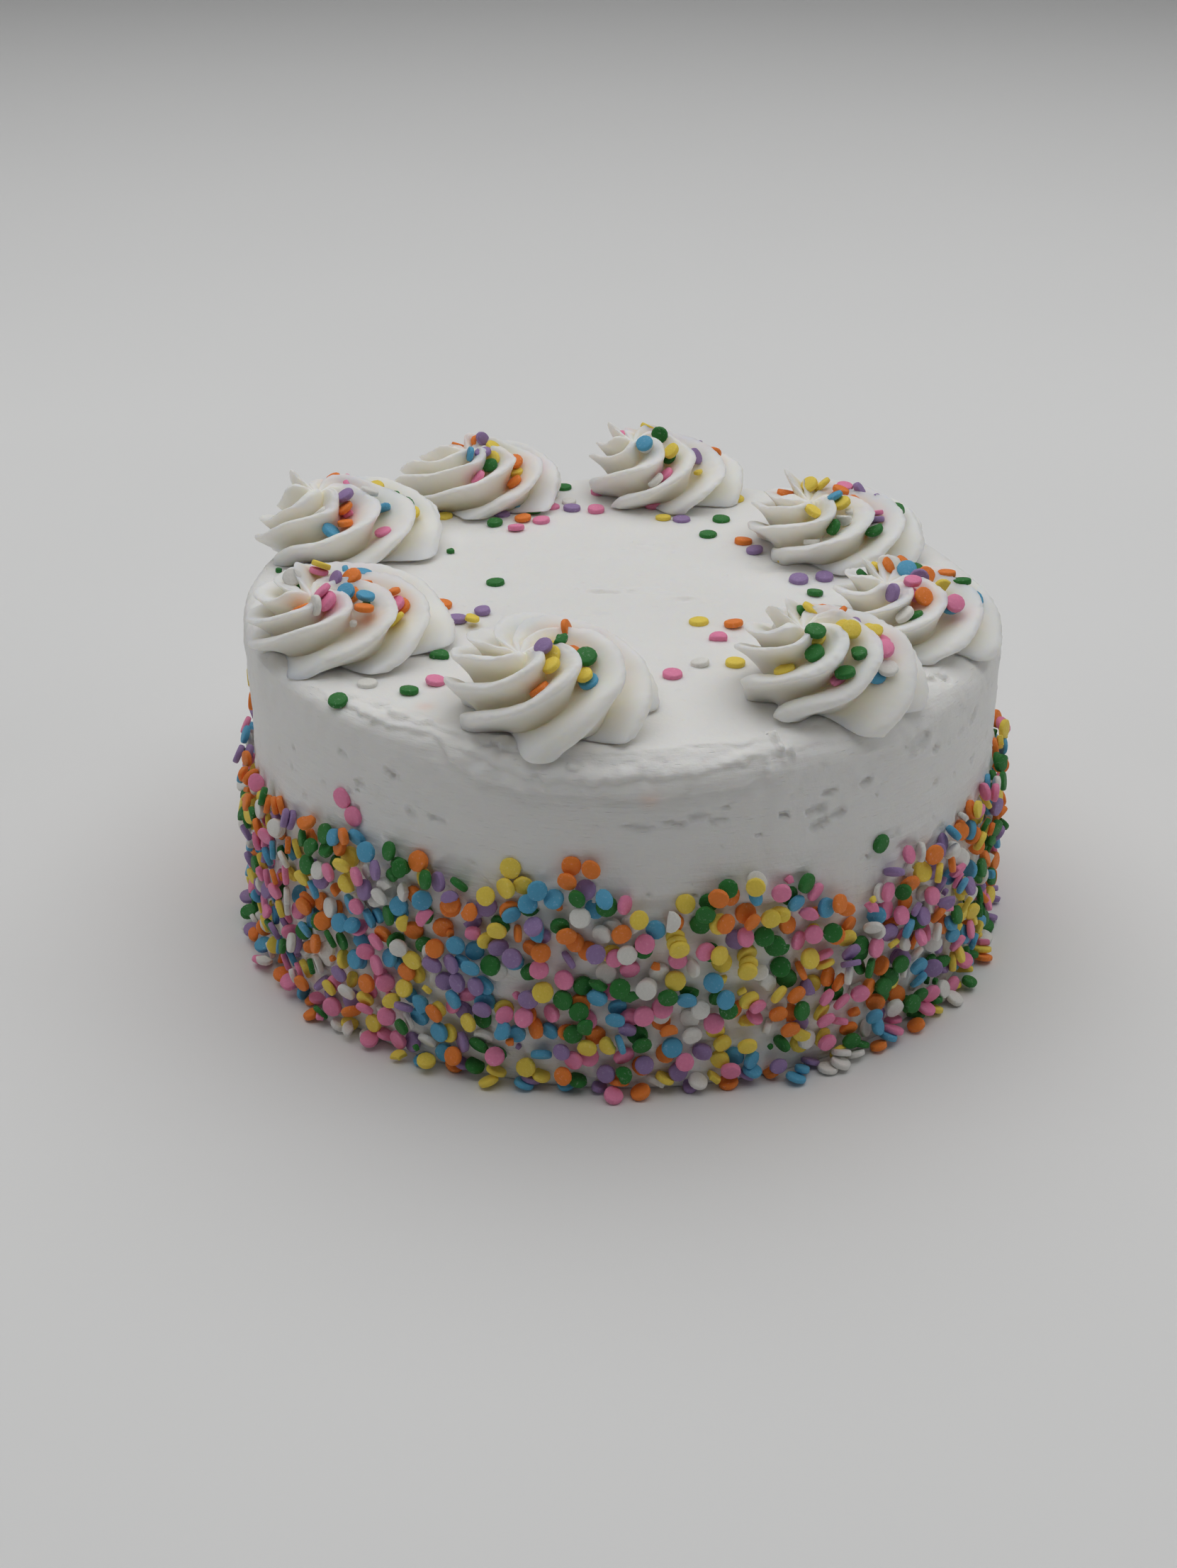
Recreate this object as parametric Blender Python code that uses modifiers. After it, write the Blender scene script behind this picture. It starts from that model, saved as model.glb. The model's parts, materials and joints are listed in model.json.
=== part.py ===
"""Round two-layer celebration cake, iced all over, with a ring of piped rosettes and confetti sprinkles.

Units are metres, +Z is up. The origin is the centre of the cake's flat underside. The side that
a guest sees first faces -Y. One solid is the iced cake with its sprinkles stuck on, and each
piped rosette is a solid of its own that sits on the icing.
"""

import math
import random

import bmesh
import bpy
from mathutils import Matrix, Vector, noise

# Iced body
CAKE_RADIUS = 0.114
FOOT_RADIUS = 0.1125
CAKE_HEIGHT = 0.1045
DOME_DROP = 0.0012
RIM_IN = 0.0095
RIM_DROP = 0.0088
ROUND_RIM = 2.0
FULL_RIM = 4.5
FULL_CENTRE = math.radians(148)
FULL_HALF = math.radians(50)
FULL_OUT = 0.0052
TURN_STEPS = 60
WALL_HEIGHTS = (0.086, 0.068, 0.050, 0.033, 0.016)
TOP_SHARES = (0.24, 0.52, 0.78)
RIM_STEPS = 3

# Hand marks in the icing
PRESS_RELIEF = 0.0016
PRESS_GRAIN = 42.0
BAND_TOP = 0.066
LIP_OUT = 0.0012
LIP_CENTRE = math.radians(-96)
LIP_HALF = math.radians(36)

# Confetti sprinkles
SPRINKLE_RADIUS = 0.0030
SPRINKLE_THICKNESS = 0.0018
SPRINKLE_SIDES = 6
WALL_ROWS = 6
WALL_COLUMNS = 32
ROW_JITTER = 0.34
FOOT_SPRINKLES = 26
TOP_SPRINKLES = 18
ROSETTE_SPRINKLES = 2
TOP_ZONE = (0.046, 0.100)
CLEAR_OF_ROSETTE = 0.0065
STUCK_SHARE = 0.42

# Ragged upper edge of the sprinkled band: degrees round the cake, height
BAND_EDGE = (
    (-170, 0.0600),
    (-154, 0.0630),
    (-136, 0.0690),
    (-118, 0.0700),
    (-108, 0.0650),
    (-96, 0.0715),
    (-86, 0.0590),
    (-76, 0.0685),
    (-66, 0.0660),
    (-57, 0.0520),
    (-48, 0.0635),
    (-30, 0.0610),
    (-8, 0.0650),
    (18, 0.0680),
    (42, 0.0600),
    (66, 0.0690),
    (92, 0.0630),
    (118, 0.0700),
    (142, 0.0620),
    (166, 0.0670),
)

# Piped rosettes
ARMS = 7
ARM_TURN = math.radians(152)
DOME_POWER = 2.2
CREST_DEPTH = 0.0062
CROWN_RADIUS = 0.0036
SKIRT = 0.009
SKIRT_SHARE = 0.84
RIM_DROOP = 0.0045
RING_SHARES = (0.0, 0.12, 0.25, 0.39, 0.53, 0.67, 0.79, 0.9, 1.0)
ARM_STOPS = (0.0, 0.20, 0.62)
VALLEY = 0.20
CREST_LEAN = 0.0012
GAP = 0.0003

# Each rosette: degrees round the cake, reach from its centre, radius, share of that radius front to
# back, rise, extra height of the crown, and how far the peak leans
ROSETTES = (
    (203.5, 0.0870, 0.0288, 0.97, 0.0160, 0.0010, (-0.010, -0.005)),
    (152.5, 0.0975, 0.0292, 1.00, 0.0150, 0.0035, (-0.010, -0.001)),
    (118.5, 0.0990, 0.0282, 0.84, 0.0145, 0.0025, (-0.003, 0.000)),
    (80.0, 0.0935, 0.0254, 0.96, 0.0158, 0.0035, (-0.012, 0.000)),
    (31.0, 0.0800, 0.0280, 1.00, 0.0150, 0.0015, (-0.009, -0.002)),
    (-19.0, 0.0900, 0.0248, 1.00, 0.0142, 0.0015, (-0.009, 0.001)),
    (-52.3, 0.0912, 0.0258, 0.96, 0.0196, 0.0020, (-0.008, -0.003)),
    (-103.4, 0.0866, 0.0281, 0.98, 0.0214, 0.0000, (-0.009, -0.006)),
)

SEED = 41
ICING = (0.90, 0.89, 0.86, 1.0)
PIPED_ICING = (0.92, 0.90, 0.86, 1.0)


def smooth_step(low, high, value):
    """0 below low, 1 above high and a smooth rise between."""
    share = min(1.0, max(0.0, (value - low) / (high - low)))
    return share * share * (3 - 2 * share)


def rim_power(angle):
    """Roundness of the rim at this angle, from a soft quarter round to a nearly square edge."""
    away = abs(math.remainder(angle - FULL_CENTRE, math.tau))
    return ROUND_RIM + (FULL_RIM - ROUND_RIM) * (1 - smooth_step(0.4 * FULL_HALF, FULL_HALF, away))


def top_height(x, y):
    """Height of the iced top, a low dome that rolls down at the rim."""
    reach = min(math.hypot(x, y), CAKE_RADIUS)
    height = CAKE_HEIGHT - DOME_DROP * (reach / CAKE_RADIUS) ** 2
    past = max(0.0, reach - (CAKE_RADIUS - RIM_IN)) / RIM_IN
    power = rim_power(math.atan2(y, x))
    return height - RIM_DROP * (1 - max(0.0, 1 - past**power) ** (1 / power))


def wall_radius(angle, height):
    """Radius of the iced wall, with the marks of the hand that pressed the sprinkles on."""
    plain = FOOT_RADIUS + (CAKE_RADIUS - FOOT_RADIUS) * smooth_step(0, CAKE_HEIGHT, height)
    away = abs(math.remainder(angle - FULL_CENTRE, math.tau))
    plain += FULL_OUT * (1 - smooth_step(0, FULL_HALF, away)) * smooth_step(0.06, 0.09, height)
    spot = Vector((math.cos(angle), math.sin(angle), 0)) * CAKE_RADIUS + Vector((0, 0, height))
    pressed = PRESS_RELIEF * (1 - smooth_step(BAND_TOP - 0.012, BAND_TOP + 0.012, height))
    return plain + pressed * noise.noise(spot * PRESS_GRAIN)


def lip(angle):
    """Share of the folded-over lip of icing that the rim carries at this angle."""
    away = abs(math.remainder(angle - LIP_CENTRE, math.tau))
    return 1 - smooth_step(LIP_HALF * 0.6, LIP_HALF, away)


def material(name, colour, roughness):
    """A Principled material of one colour."""
    made = bpy.data.materials.new(name)
    made.use_nodes = True
    shader = made.node_tree.nodes["Principled BSDF"]
    shader.inputs["Base Color"].default_value = colour
    shader.inputs["Roughness"].default_value = roughness
    shader.inputs["Metallic"].default_value = 0.0
    return made


def link(name, mesh, collection, surface=None):
    """A new object of this mesh in a collection."""
    made = bpy.data.objects.new(name, mesh)
    collection.objects.link(made)
    if surface:
        mesh.materials.append(surface)
    return made


def baked(obj, name):
    """A plain mesh of the object with its modifiers applied."""
    graph = bpy.context.evaluated_depsgraph_get()
    mesh = bpy.data.meshes.new_from_object(obj.evaluated_get(graph))
    mesh.name = name
    return mesh


def profile_points():
    """Outline of half the cake from the top centre over the rim and down the wall to the base."""
    flat = CAKE_RADIUS - RIM_IN
    outline = [(flat * share, CAKE_HEIGHT) for share in (0.0, *TOP_SHARES)]
    for step in range(RIM_STEPS + 1):
        bend = math.pi / 2 * step / RIM_STEPS
        outline.append((flat + RIM_IN * math.sin(bend), CAKE_HEIGHT - RIM_DROP * (1 - math.cos(bend))))
    outline += [(CAKE_RADIUS, height) for height in WALL_HEIGHTS]
    return outline + [(FOOT_RADIUS, 0.0), (0.0, 0.0)]


def shape_rim(spot, reach, angle):
    """Moves a point of the turned rim to the roundness the rim has at its angle."""
    flat = CAKE_RADIUS - RIM_IN
    power = rim_power(angle)
    sine = min(1.0, (reach - flat) / RIM_IN)
    cosine = math.sqrt(max(0.0, 1 - sine * sine))
    new_reach = flat + RIM_IN * sine ** (2 / power)
    rim_foot = CAKE_HEIGHT - DOME_DROP - RIM_DROP
    spot.z = rim_foot + RIM_DROP * cosine ** (2 / power)
    new_reach += (wall_radius(angle, rim_foot) - CAKE_RADIUS + LIP_OUT * lip(angle)) * sine
    spot.x *= new_reach / reach
    spot.y *= new_reach / reach


def shape_body(mesh):
    """Gives the turned blank its domed top, its uneven rim and its hand-pressed wall."""
    flat = CAKE_RADIUS - RIM_IN
    wall_top = CAKE_HEIGHT - RIM_DROP
    for vertex in mesh.vertices:
        spot = vertex.co
        reach = math.hypot(spot.x, spot.y)
        if reach < 1e-5 or spot.z < 1e-5:
            continue
        angle = math.atan2(spot.y, spot.x)
        if spot.z < wall_top - 1e-5:
            new_reach = wall_radius(angle, spot.z)
            spot.x *= new_reach / reach
            spot.y *= new_reach / reach
        elif reach > flat + 1e-5:
            shape_rim(spot, reach, angle)
        else:
            spot.z -= DOME_DROP * (reach / CAKE_RADIUS) ** 2


def turned_body(collection):
    """The bare iced cake, turned from its outline and then marked by hand."""
    mesh = bpy.data.meshes.new("outline")
    points = [(reach, 0.0, height) for reach, height in profile_points()]
    mesh.from_pydata(points, [(i, i + 1) for i in range(len(points) - 1)], [])
    blank = link("blank", mesh, collection)
    turn = blank.modifiers.new("turn", "SCREW")
    turn.steps = turn.render_steps = TURN_STEPS
    turn.use_merge_vertices = True
    turn.merge_threshold = 0.00005
    turn.use_smooth_shade = False
    body = baked(blank, "iced_body")
    bpy.data.objects.remove(blank)
    shape_body(body)
    return body


def sprinkle_mesh():
    """One confetti disc, a short prism round its own Z axis."""
    mesh = bpy.data.meshes.new("sprinkle")
    shape = bmesh.new()
    bmesh.ops.create_cone(
        shape,
        cap_ends=True,
        segments=SPRINKLE_SIDES,
        radius1=SPRINKLE_RADIUS,
        radius2=SPRINKLE_RADIUS,
        depth=SPRINKLE_THICKNESS,
    )
    shape.to_mesh(mesh)
    shape.free()
    return mesh


def stick_sprinkle(mesh, collection, spot, normal, tilt, draw):
    """Lays one disc on a surface at a tilt, sunk in far enough to hold."""
    reach_in = SPRINKLE_RADIUS * math.sin(tilt) + SPRINKLE_THICKNESS / 2 * math.cos(tilt)
    centre = spot + normal * reach_in * STUCK_SHARE
    facing = normal.to_track_quat("Z", "Y").to_matrix().to_4x4()
    spin = Matrix.Rotation(draw.uniform(0, math.tau), 4, "Z")
    lean = Matrix.Rotation(tilt, 4, "X")
    disc = link("disc", mesh, collection)
    disc.matrix_world = Matrix.Translation(centre) @ facing @ spin @ lean
    return disc


def band_edge(angle):
    """Height of the ragged upper edge of the sprinkled band."""
    marks = (*BAND_EDGE, (BAND_EDGE[0][0] + 360, BAND_EDGE[0][1]))
    degrees = (math.degrees(angle) - BAND_EDGE[0][0]) % 360 + BAND_EDGE[0][0]
    for (start, low), (end, high) in zip(marks, marks[1:]):
        if degrees <= end:
            return low + (high - low) * smooth_step(start, end, degrees)
    return marks[-1][1]


def sprinkle_wall(mesh, collection, draw):
    """An even, loosely jittered grid over the lower wall and a ring of discs round the foot."""
    low = SPRINKLE_RADIUS + 0.0012
    for row in range(WALL_ROWS):
        for column in range(WALL_COLUMNS):
            step = column + 0.5 * (row % 2) + draw.uniform(-ROW_JITTER, ROW_JITTER)
            angle = math.tau * step / WALL_COLUMNS
            share = (row + 0.5 + draw.uniform(-ROW_JITTER, ROW_JITTER)) / WALL_ROWS
            height = low + (band_edge(angle) - SPRINKLE_RADIUS - low) * share
            outward = Vector((math.cos(angle), math.sin(angle), 0))
            spot = outward * wall_radius(angle, height) + Vector((0, 0, height))
            stick_sprinkle(mesh, collection, spot, outward, math.radians(draw.uniform(4, 46)), draw)
    for i in range(FOOT_SPRINKLES):
        angle = math.tau * (i + draw.uniform(-0.3, 0.3)) / FOOT_SPRINKLES
        outward = Vector((math.cos(angle), math.sin(angle), 0))
        disc = link("disc", mesh, collection)
        spin = Matrix.Rotation(draw.uniform(0, math.tau), 4, "Z")
        disc.matrix_world = Matrix.Translation(outward * (FOOT_RADIUS + 0.001)) @ spin
        disc.matrix_world.translation.z = SPRINKLE_THICKNESS / 2 + 0.0004


def sprinkle_top(mesh, collection, draw):
    """A few discs on the flat top, clear of the rosettes and of each other."""
    taken = []
    while len(taken) < TOP_SPRINKLES:
        angle = draw.uniform(0, math.tau)
        spot = Vector((math.cos(angle), math.sin(angle), 0)) * draw.uniform(*TOP_ZONE)
        near_rosette = any(
            (spot - rosette_place(spec)).length < spec[2] + CLEAR_OF_ROSETTE for spec in ROSETTES
        )
        near_disc = any((spot - other).length < 3 * SPRINKLE_RADIUS for other in taken)
        if near_rosette or near_disc:
            continue
        taken.append(spot)
        lifted = Vector((spot.x, spot.y, top_height(spot.x, spot.y)))
        up = Vector((0, 0, 1))
        stick_sprinkle(mesh, collection, lifted, up, math.radians(draw.uniform(1, 12)), draw)


def rosette_place(spec):
    """Centre of a rosette in plan."""
    angle = math.radians(spec[0])
    return Vector((math.cos(angle), math.sin(angle), 0)) * spec[1]


def seat_height(x, y):
    """Height the piped icing settles to, which hangs a little over the rim."""
    reach = math.hypot(x, y)
    height = CAKE_HEIGHT - DOME_DROP * (reach / CAKE_RADIUS) ** 2
    return height - RIM_DROOP * smooth_step(CAKE_RADIUS - RIM_IN, CAKE_RADIUS + RIM_IN, reach)


def ridge(phase):
    """Height of one piped arm across its width: a steep outer side and a long hollow inner one."""
    if phase < VALLEY:
        return (1 - phase / VALLEY) ** 1.15
    return ((phase - VALLEY) / (1 - VALLEY)) ** 1.6


def rosette_point(spec, gains, arm, phase, share):
    """A point of the piped swirl, from its base at share 0 up an arm to its crown at share 1."""
    radius, rise = spec[2] - CREST_DEPTH * 0.45 - CREST_LEAN, spec[4]
    bend = share * math.pi / 2
    flat = math.cos(bend) ** (2 / DOME_POWER) if share < 1 else 0.0
    steep = math.sin(bend) ** (2 / DOME_POWER)
    out = flat ** (DOME_POWER - 1) / radius
    up = steep ** (DOME_POWER - 1) / rise
    size = math.hypot(out, up)
    gain = gains[arm % ARMS]
    depth = CREST_DEPTH * gain * (0.5 + 0.5 * flat) * (ridge(phase) - 0.45)
    reach = CROWN_RADIUS + (radius - CROWN_RADIUS) * flat + depth * out / size
    reach += CREST_LEAN * ridge(phase) ** 2
    height = rise * steep + depth * up / size + spec[5] * gain * smooth_step(0.75, 1.0, share)
    turn = math.tau * (arm + phase + spec_turn(spec)) / ARMS + ARM_TURN * share
    place = rosette_place(spec)
    x = place.x + math.cos(turn) * reach + spec[6][0] * share**1.5
    y = place.y + math.sin(turn) * reach * spec[3] + spec[6][1] * share**1.5
    return Vector((x, y, seat_height(x, y) + height))


def spec_turn(spec):
    """How far a rosette's arms are turned, in arms, so that no two rosettes look alike."""
    return spec[0] * 0.618034 % 1


def rosette_mesh(name, spec, gains):
    """Lofts the swirl's star-shaped sections, from a skirt inside the icing up to the crown."""
    shape = bmesh.new()
    stops = [(arm, phase) for arm in range(ARMS) for phase in ARM_STOPS]
    count = len(stops)
    place = rosette_place(spec)
    base_height = seat_height(place.x, place.y) - SKIRT
    rings = []
    for share in RING_SHARES:
        points = [rosette_point(spec, gains, arm, phase, share) for arm, phase in stops]
        rings.append([shape.verts.new(point) for point in points])
    inner = [place + (v.co - place) * SKIRT_SHARE for v in rings[0]]
    rings.insert(0, [shape.verts.new((p.x, p.y, base_height)) for p in inner])
    for lower, upper in zip(rings, rings[1:]):
        for i in range(count):
            j = (i + 1) % count
            shape.faces.new((lower[i], lower[j], upper[i]))
            shape.faces.new((lower[j], upper[j], upper[i]))
    crown = sum((v.co for v in rings[-1]), Vector()) / count
    tip = shape.verts.new(crown + Vector((0, 0, -CREST_DEPTH * 0.25)))
    base = shape.verts.new((place.x, place.y, base_height))
    for i in range(count):
        j = (i + 1) % count
        shape.faces.new((rings[-1][i], rings[-1][j], tip))
        shape.faces.new((rings[0][j], rings[0][i], base))
    mesh = bpy.data.meshes.new(name)
    shape.to_mesh(mesh)
    shape.free()
    return mesh


def sprinkle_rosette(mesh, collection, spec, gains, draw):
    """Drops a few discs between the arms on the side away from the rosette's peak."""
    for i in range(ROSETTE_SPRINKLES):
        share = draw.uniform(0.4, 0.62)
        facing = math.radians(-50 + 130 * (i + 0.5) / ROSETTE_SPRINKLES)
        arm = round((facing - ARM_TURN * share) / math.tau * ARMS - spec_turn(spec) - 0.5) % ARMS
        near = [rosette_point(spec, gains, arm, phase, share) for phase in (0.45, 0.55)]
        above = rosette_point(spec, gains, arm, 0.45, share + 0.06)
        normal = (near[1] - near[0]).cross(above - near[0]).normalized()
        normal *= 1 if normal.z > 0 else -1
        tilt = math.radians(draw.uniform(4, 24))
        stick_sprinkle(mesh, collection, near[0], normal, tilt, draw)


def join(target, collection):
    """Fuses every object of a collection to the target and clears the collection."""
    union = target.modifiers.new("fuse", "BOOLEAN")
    union.operation = "UNION"
    union.operand_type = "COLLECTION"
    union.collection = collection
    union.solver = "MANIFOLD"
    apply_modifiers(target)
    for member in list(collection.objects):
        bpy.data.objects.remove(member)


def cut(target, cutter):
    """Takes the cutter's space out of the target."""
    away = target.modifiers.new("cut", "BOOLEAN")
    away.operation = "DIFFERENCE"
    away.object = cutter
    away.solver = "MANIFOLD"
    apply_modifiers(target)


def apply_modifiers(target):
    """Replaces the target's mesh with what its modifiers make, keeping its material."""
    surface = target.data.materials[0]
    mesh = baked(target, target.name)
    target.modifiers.clear()
    target.data = mesh
    mesh.materials.clear()
    mesh.materials.append(surface)
    for face in mesh.polygons:
        face.material_index = 0


def keep_largest(mesh):
    """Drops loose scraps that a cut leaves beside the main piece."""
    shape = bmesh.new()
    shape.from_mesh(mesh)
    left, groups = set(shape.verts), []
    while left:
        group, edge = set(), [left.pop()]
        while edge:
            vertex = edge.pop()
            group.add(vertex)
            near = {e.other_vert(vertex) for e in vertex.link_edges} & left
            left -= near
            edge += near
        groups.append(group)
    groups.sort(key=len)
    bmesh.ops.delete(shape, geom=[v for group in groups[:-1] for v in group], context="VERTS")
    shape.to_mesh(mesh)
    shape.free()


def icing_cutter(body, collection):
    """A copy of the iced body grown by the gap that two touching solids keep."""
    mesh = body.copy()
    for vertex in mesh.vertices:
        reach = max(math.hypot(vertex.co.x, vertex.co.y), 1e-6)
        vertex.co.x *= 1 + GAP / reach
        vertex.co.y *= 1 + GAP / reach
        vertex.co.z += GAP
    cutter = link("icing_cutter", mesh, collection)
    cutter.hide_render = True
    cutter.display_type = "WIRE"
    return cutter


def build_rosette(index, spec, disc_mesh, cutter, cake, loose, surface, draw):
    """One piped rosette, seated on the icing, with its own sprinkles fused on."""
    gains = [draw.uniform(0.82, 1.15) for _ in range(ARMS)]
    name = f"rosette_{index + 1}"
    rosette = link(name, rosette_mesh(name, spec, gains), cake, surface)
    cut(rosette, cutter)
    keep_largest(rosette.data)
    sprinkle_rosette(disc_mesh, loose, spec, gains, draw)
    join(rosette, loose)


def main():
    """Builds the whole cake in an empty scene."""
    for old in list(bpy.data.objects):
        bpy.data.objects.remove(old)
    cake = bpy.data.collections.new("vanilla_cake")
    tools = bpy.data.collections.new("cutters")
    loose = bpy.data.collections.new("loose_sprinkles")
    for made in (cake, tools, loose):
        bpy.context.scene.collection.children.link(made)
    icing = material("icing", ICING, 0.5)
    piped = material("piped_icing", PIPED_ICING, 0.5)
    draw = random.Random(SEED)
    disc_mesh = sprinkle_mesh()
    body_mesh = turned_body(tools)
    cutter = icing_cutter(body_mesh, tools)
    for index, spec in enumerate(ROSETTES):
        build_rosette(index, spec, disc_mesh, cutter, cake, loose, piped, draw)
    body = link("cake", body_mesh, cake, icing)
    sprinkle_wall(disc_mesh, loose, draw)
    sprinkle_top(disc_mesh, loose, draw)
    join(body, loose)


main()
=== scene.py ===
"""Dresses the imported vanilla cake: icing, piped rosettes, confetti sprinkles and a studio stage.

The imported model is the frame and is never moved. Every piece is made where the frame has it, in
metres, +Z up, with the cake's flat underside at zero height and the side seen first facing -Y.
"""

import itertools
import json
import math
import random
from collections import namedtuple

import bpy
import numpy as np
from bpy.props import FloatProperty, FloatVectorProperty, IntProperty, PointerProperty
from mathutils import Matrix, Vector
from mathutils.bvhtree import BVHTree
from mathutils.kdtree import KDTree

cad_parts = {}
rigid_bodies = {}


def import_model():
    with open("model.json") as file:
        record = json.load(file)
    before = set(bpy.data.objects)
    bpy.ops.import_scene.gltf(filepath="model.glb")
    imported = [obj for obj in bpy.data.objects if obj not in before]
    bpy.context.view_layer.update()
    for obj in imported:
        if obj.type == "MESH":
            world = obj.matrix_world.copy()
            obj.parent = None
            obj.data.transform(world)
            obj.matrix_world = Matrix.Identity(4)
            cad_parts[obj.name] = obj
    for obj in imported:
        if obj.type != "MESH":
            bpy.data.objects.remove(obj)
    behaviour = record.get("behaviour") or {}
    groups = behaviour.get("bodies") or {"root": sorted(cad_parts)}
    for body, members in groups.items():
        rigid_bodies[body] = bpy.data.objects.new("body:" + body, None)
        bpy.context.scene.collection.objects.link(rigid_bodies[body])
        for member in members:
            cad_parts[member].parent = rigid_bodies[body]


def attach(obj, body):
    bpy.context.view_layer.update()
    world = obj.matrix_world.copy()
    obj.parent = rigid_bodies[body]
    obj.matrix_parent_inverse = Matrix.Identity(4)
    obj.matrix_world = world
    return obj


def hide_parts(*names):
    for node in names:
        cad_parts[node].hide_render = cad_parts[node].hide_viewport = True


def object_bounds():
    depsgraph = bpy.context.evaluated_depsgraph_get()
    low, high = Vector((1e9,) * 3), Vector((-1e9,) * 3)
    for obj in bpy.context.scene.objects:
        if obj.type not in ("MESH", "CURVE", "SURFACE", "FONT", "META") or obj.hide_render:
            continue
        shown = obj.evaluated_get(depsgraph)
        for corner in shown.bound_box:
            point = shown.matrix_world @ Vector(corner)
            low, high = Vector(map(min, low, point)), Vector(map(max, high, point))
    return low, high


bl_info = {
    "name": "Vanilla cake",
    "version": (1, 0, 0),
    "blender": (4, 5, 0),
    "location": "View3D > Sidebar > Cake",
    "description": "Ices the cake frame, pipes its rosettes, scatters its confetti and sets the stage",
    "category": "Object",
}

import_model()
CAD_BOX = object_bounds()

# Iced body, as in the solids
RIM_IN = 0.0095
RIM_DROP = 0.0088
DOME_DROP = 0.0012
ROUND_RIM = 2.0
FULL_RIM = 4.5
FULL_RIM_CENTRE = math.radians(180)
FULL_RIM_HALF = math.radians(75)
FULL_CENTRE = math.radians(148)
FULL_HALF = math.radians(50)
FULL_OUT = 0.0052

# Mesh of the iced body, which is coarse near the middle and fine on the rim and the upper wall
COLUMNS = 960
INNER_ROWS = 30
OUTER_ROWS = 30
INNER_REACH = 0.052
RIM_ROWS = 25
UPPER_ROWS = 42
LOWER_ROWS = 13
LOWER_WALL = 0.0575
INNERMOST = 0.002
WALL_FOOT = 0.0009
FOOT_ROUND = 0.0006

# Relief of the icing: how far it stands out, and how large its lumps are
SWELL = (0.0005, 0.045)
RIPPLE = (0.00014, 0.012)
BAND_SWELL = (0.0011, 0.015)
BAND_LUMPS = (0.0005, 0.0065)
BAND_PEAKS = (0.0008, 0.0085)
FINE_STROKES = (0.00022, (0.045, 0.045, 0.0032))
BROAD_STROKES = (0.0002, (0.09, 0.09, 0.008))
FINE_SWEEP = (0.00022, (0.060, 0.008, 0.05))
BROAD_SWEEP = (0.0003, (0.05, 0.03, 0.1))
FOLD_WANDER = (0.0009, (0.012, 0.012, 1.0))
FOLD_JAG = (0.00085, (0.0032, 0.0032, 1.0))
RIM_CRUMBLE = (0.00034, 0.004)
SCUFF_DEPTH = 0.0010

# Seam on the wall where the spatula stopped
SEAM_PLACE = math.radians(-71.5)
SEAM_DEPTH = 0.00035
SEAM_WIDTH = 0.0022

# Ragged upper edge of the sprinkled band: degrees, height
BAND_EDGE = (
    (-170, 0.0600),
    (-154, 0.0630),
    (-136, 0.0690),
    (-118, 0.0700),
    (-108, 0.0650),
    (-96, 0.0715),
    (-86, 0.0590),
    (-76, 0.0685),
    (-66, 0.0660),
    (-57, 0.0520),
    (-48, 0.0635),
    (-30, 0.0610),
    (-8, 0.0650),
    (18, 0.0680),
    (42, 0.0600),
    (66, 0.0690),
    (92, 0.0630),
    (118, 0.0700),
    (142, 0.0620),
    (166, 0.0670),
)

# Folds where the spatula dragged icing over the rim. Each has its path as degrees and millimetres
# below the flat top, its strength as degrees and share, how far it stands out and how far it fades
FOLDS = (
    (
        ((-180, 4.0), (-145, 2.4), (-132, 2.6), (-125, 3.0), (-117, 4.2), (-113, 8.0), (-109, 9.0),
         (-103, 9.4), (-97, 10.0), (-88, 10.3), (-80, 10.1), (-76, 9.0), (-72, 8.0), (-66, 7.6),
         (-58, 9.0), (-45, 9.7), (-28, 10.0), (60, 8.5), (120, 9.5)),
        ((-180, 0.1), (-145, 0.2), (-132, 0.55), (-118, 0.7), (-111, 1.0), (-78, 1.0), (-70, 0.55),
         (-58, 0.3), (-48, 0.0), (30, 0.0), (60, 0.6), (100, 0.5), (130, 0.0)),
        0.0020,
        0.0056,
    ),
    (
        ((-140, 0.0), (-132, 0.3), (-122, 1.4), (-115, 2.0), (-109, 2.6), (-104, 3.3), (-98, 3.6),
         (-92, 2.2), (-80, 1.7), (-72, 2.0), (-66, 2.6), (100, 2.0), (160, 1.0)),
        ((-150, 0.0), (-136, 0.8), (-124, 1.0), (-104, 0.9), (-97, 0.2), (-92, 0.35), (-72, 0.35),
         (-62, 0.0), (90, 0.0), (120, 0.6), (150, 0.6), (170, 0.0)),
        0.0015,
        0.0038,
    ),
    (
        ((-116, 4.4), (-111, 5.0), (-106, 6.4), (-100, 7.3), (-94, 7.6), (-88, 6.4), (-80, 6.9),
         (-74, 5.0), (-66, 4.4), (-60, 5.0), (80, 5.0)),
        ((-116, 0.0), (-112, 0.9), (-90, 1.0), (-80, 0.7), (-74, 0.9), (-66, 0.6), (-58, 0.0),
         (50, 0.0), (70, 0.6), (90, 0.0)),
        0.0015,
        0.0032,
    ),
)

# Piped rosettes, as in the solids
ARMS = 7
ARM_TURN = math.radians(152)
DOME_POWER = 2.2
CROWN_RADIUS = 0.0036
RIM_DROOP = 0.0045
VALLEY = 0.40
CREST_INSET = 0.0062 * 0.45
CREST_LEAN = 0.0012
PIPING_LIFT = 0.0006
CROWN_DROP = 0.0022
BASE_DROP = 0.006

# Share of an arm by which a rosette is turned, for each degree of its place round the cake
TURN_SHARE = 0.618034

# Points across an arm and rows up to the crown, and points of a ridge's profile
ARM_SAMPLES = 26
SHARE_ROWS = 104
RIDGE_SPOTS = 600

# Rings that carry a rosette down into the icing: share of its width and how far below its edge
UNDER_RINGS = ((0.50, 0.0050), (0.74, 0.0034), (0.88, 0.0010))

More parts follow.
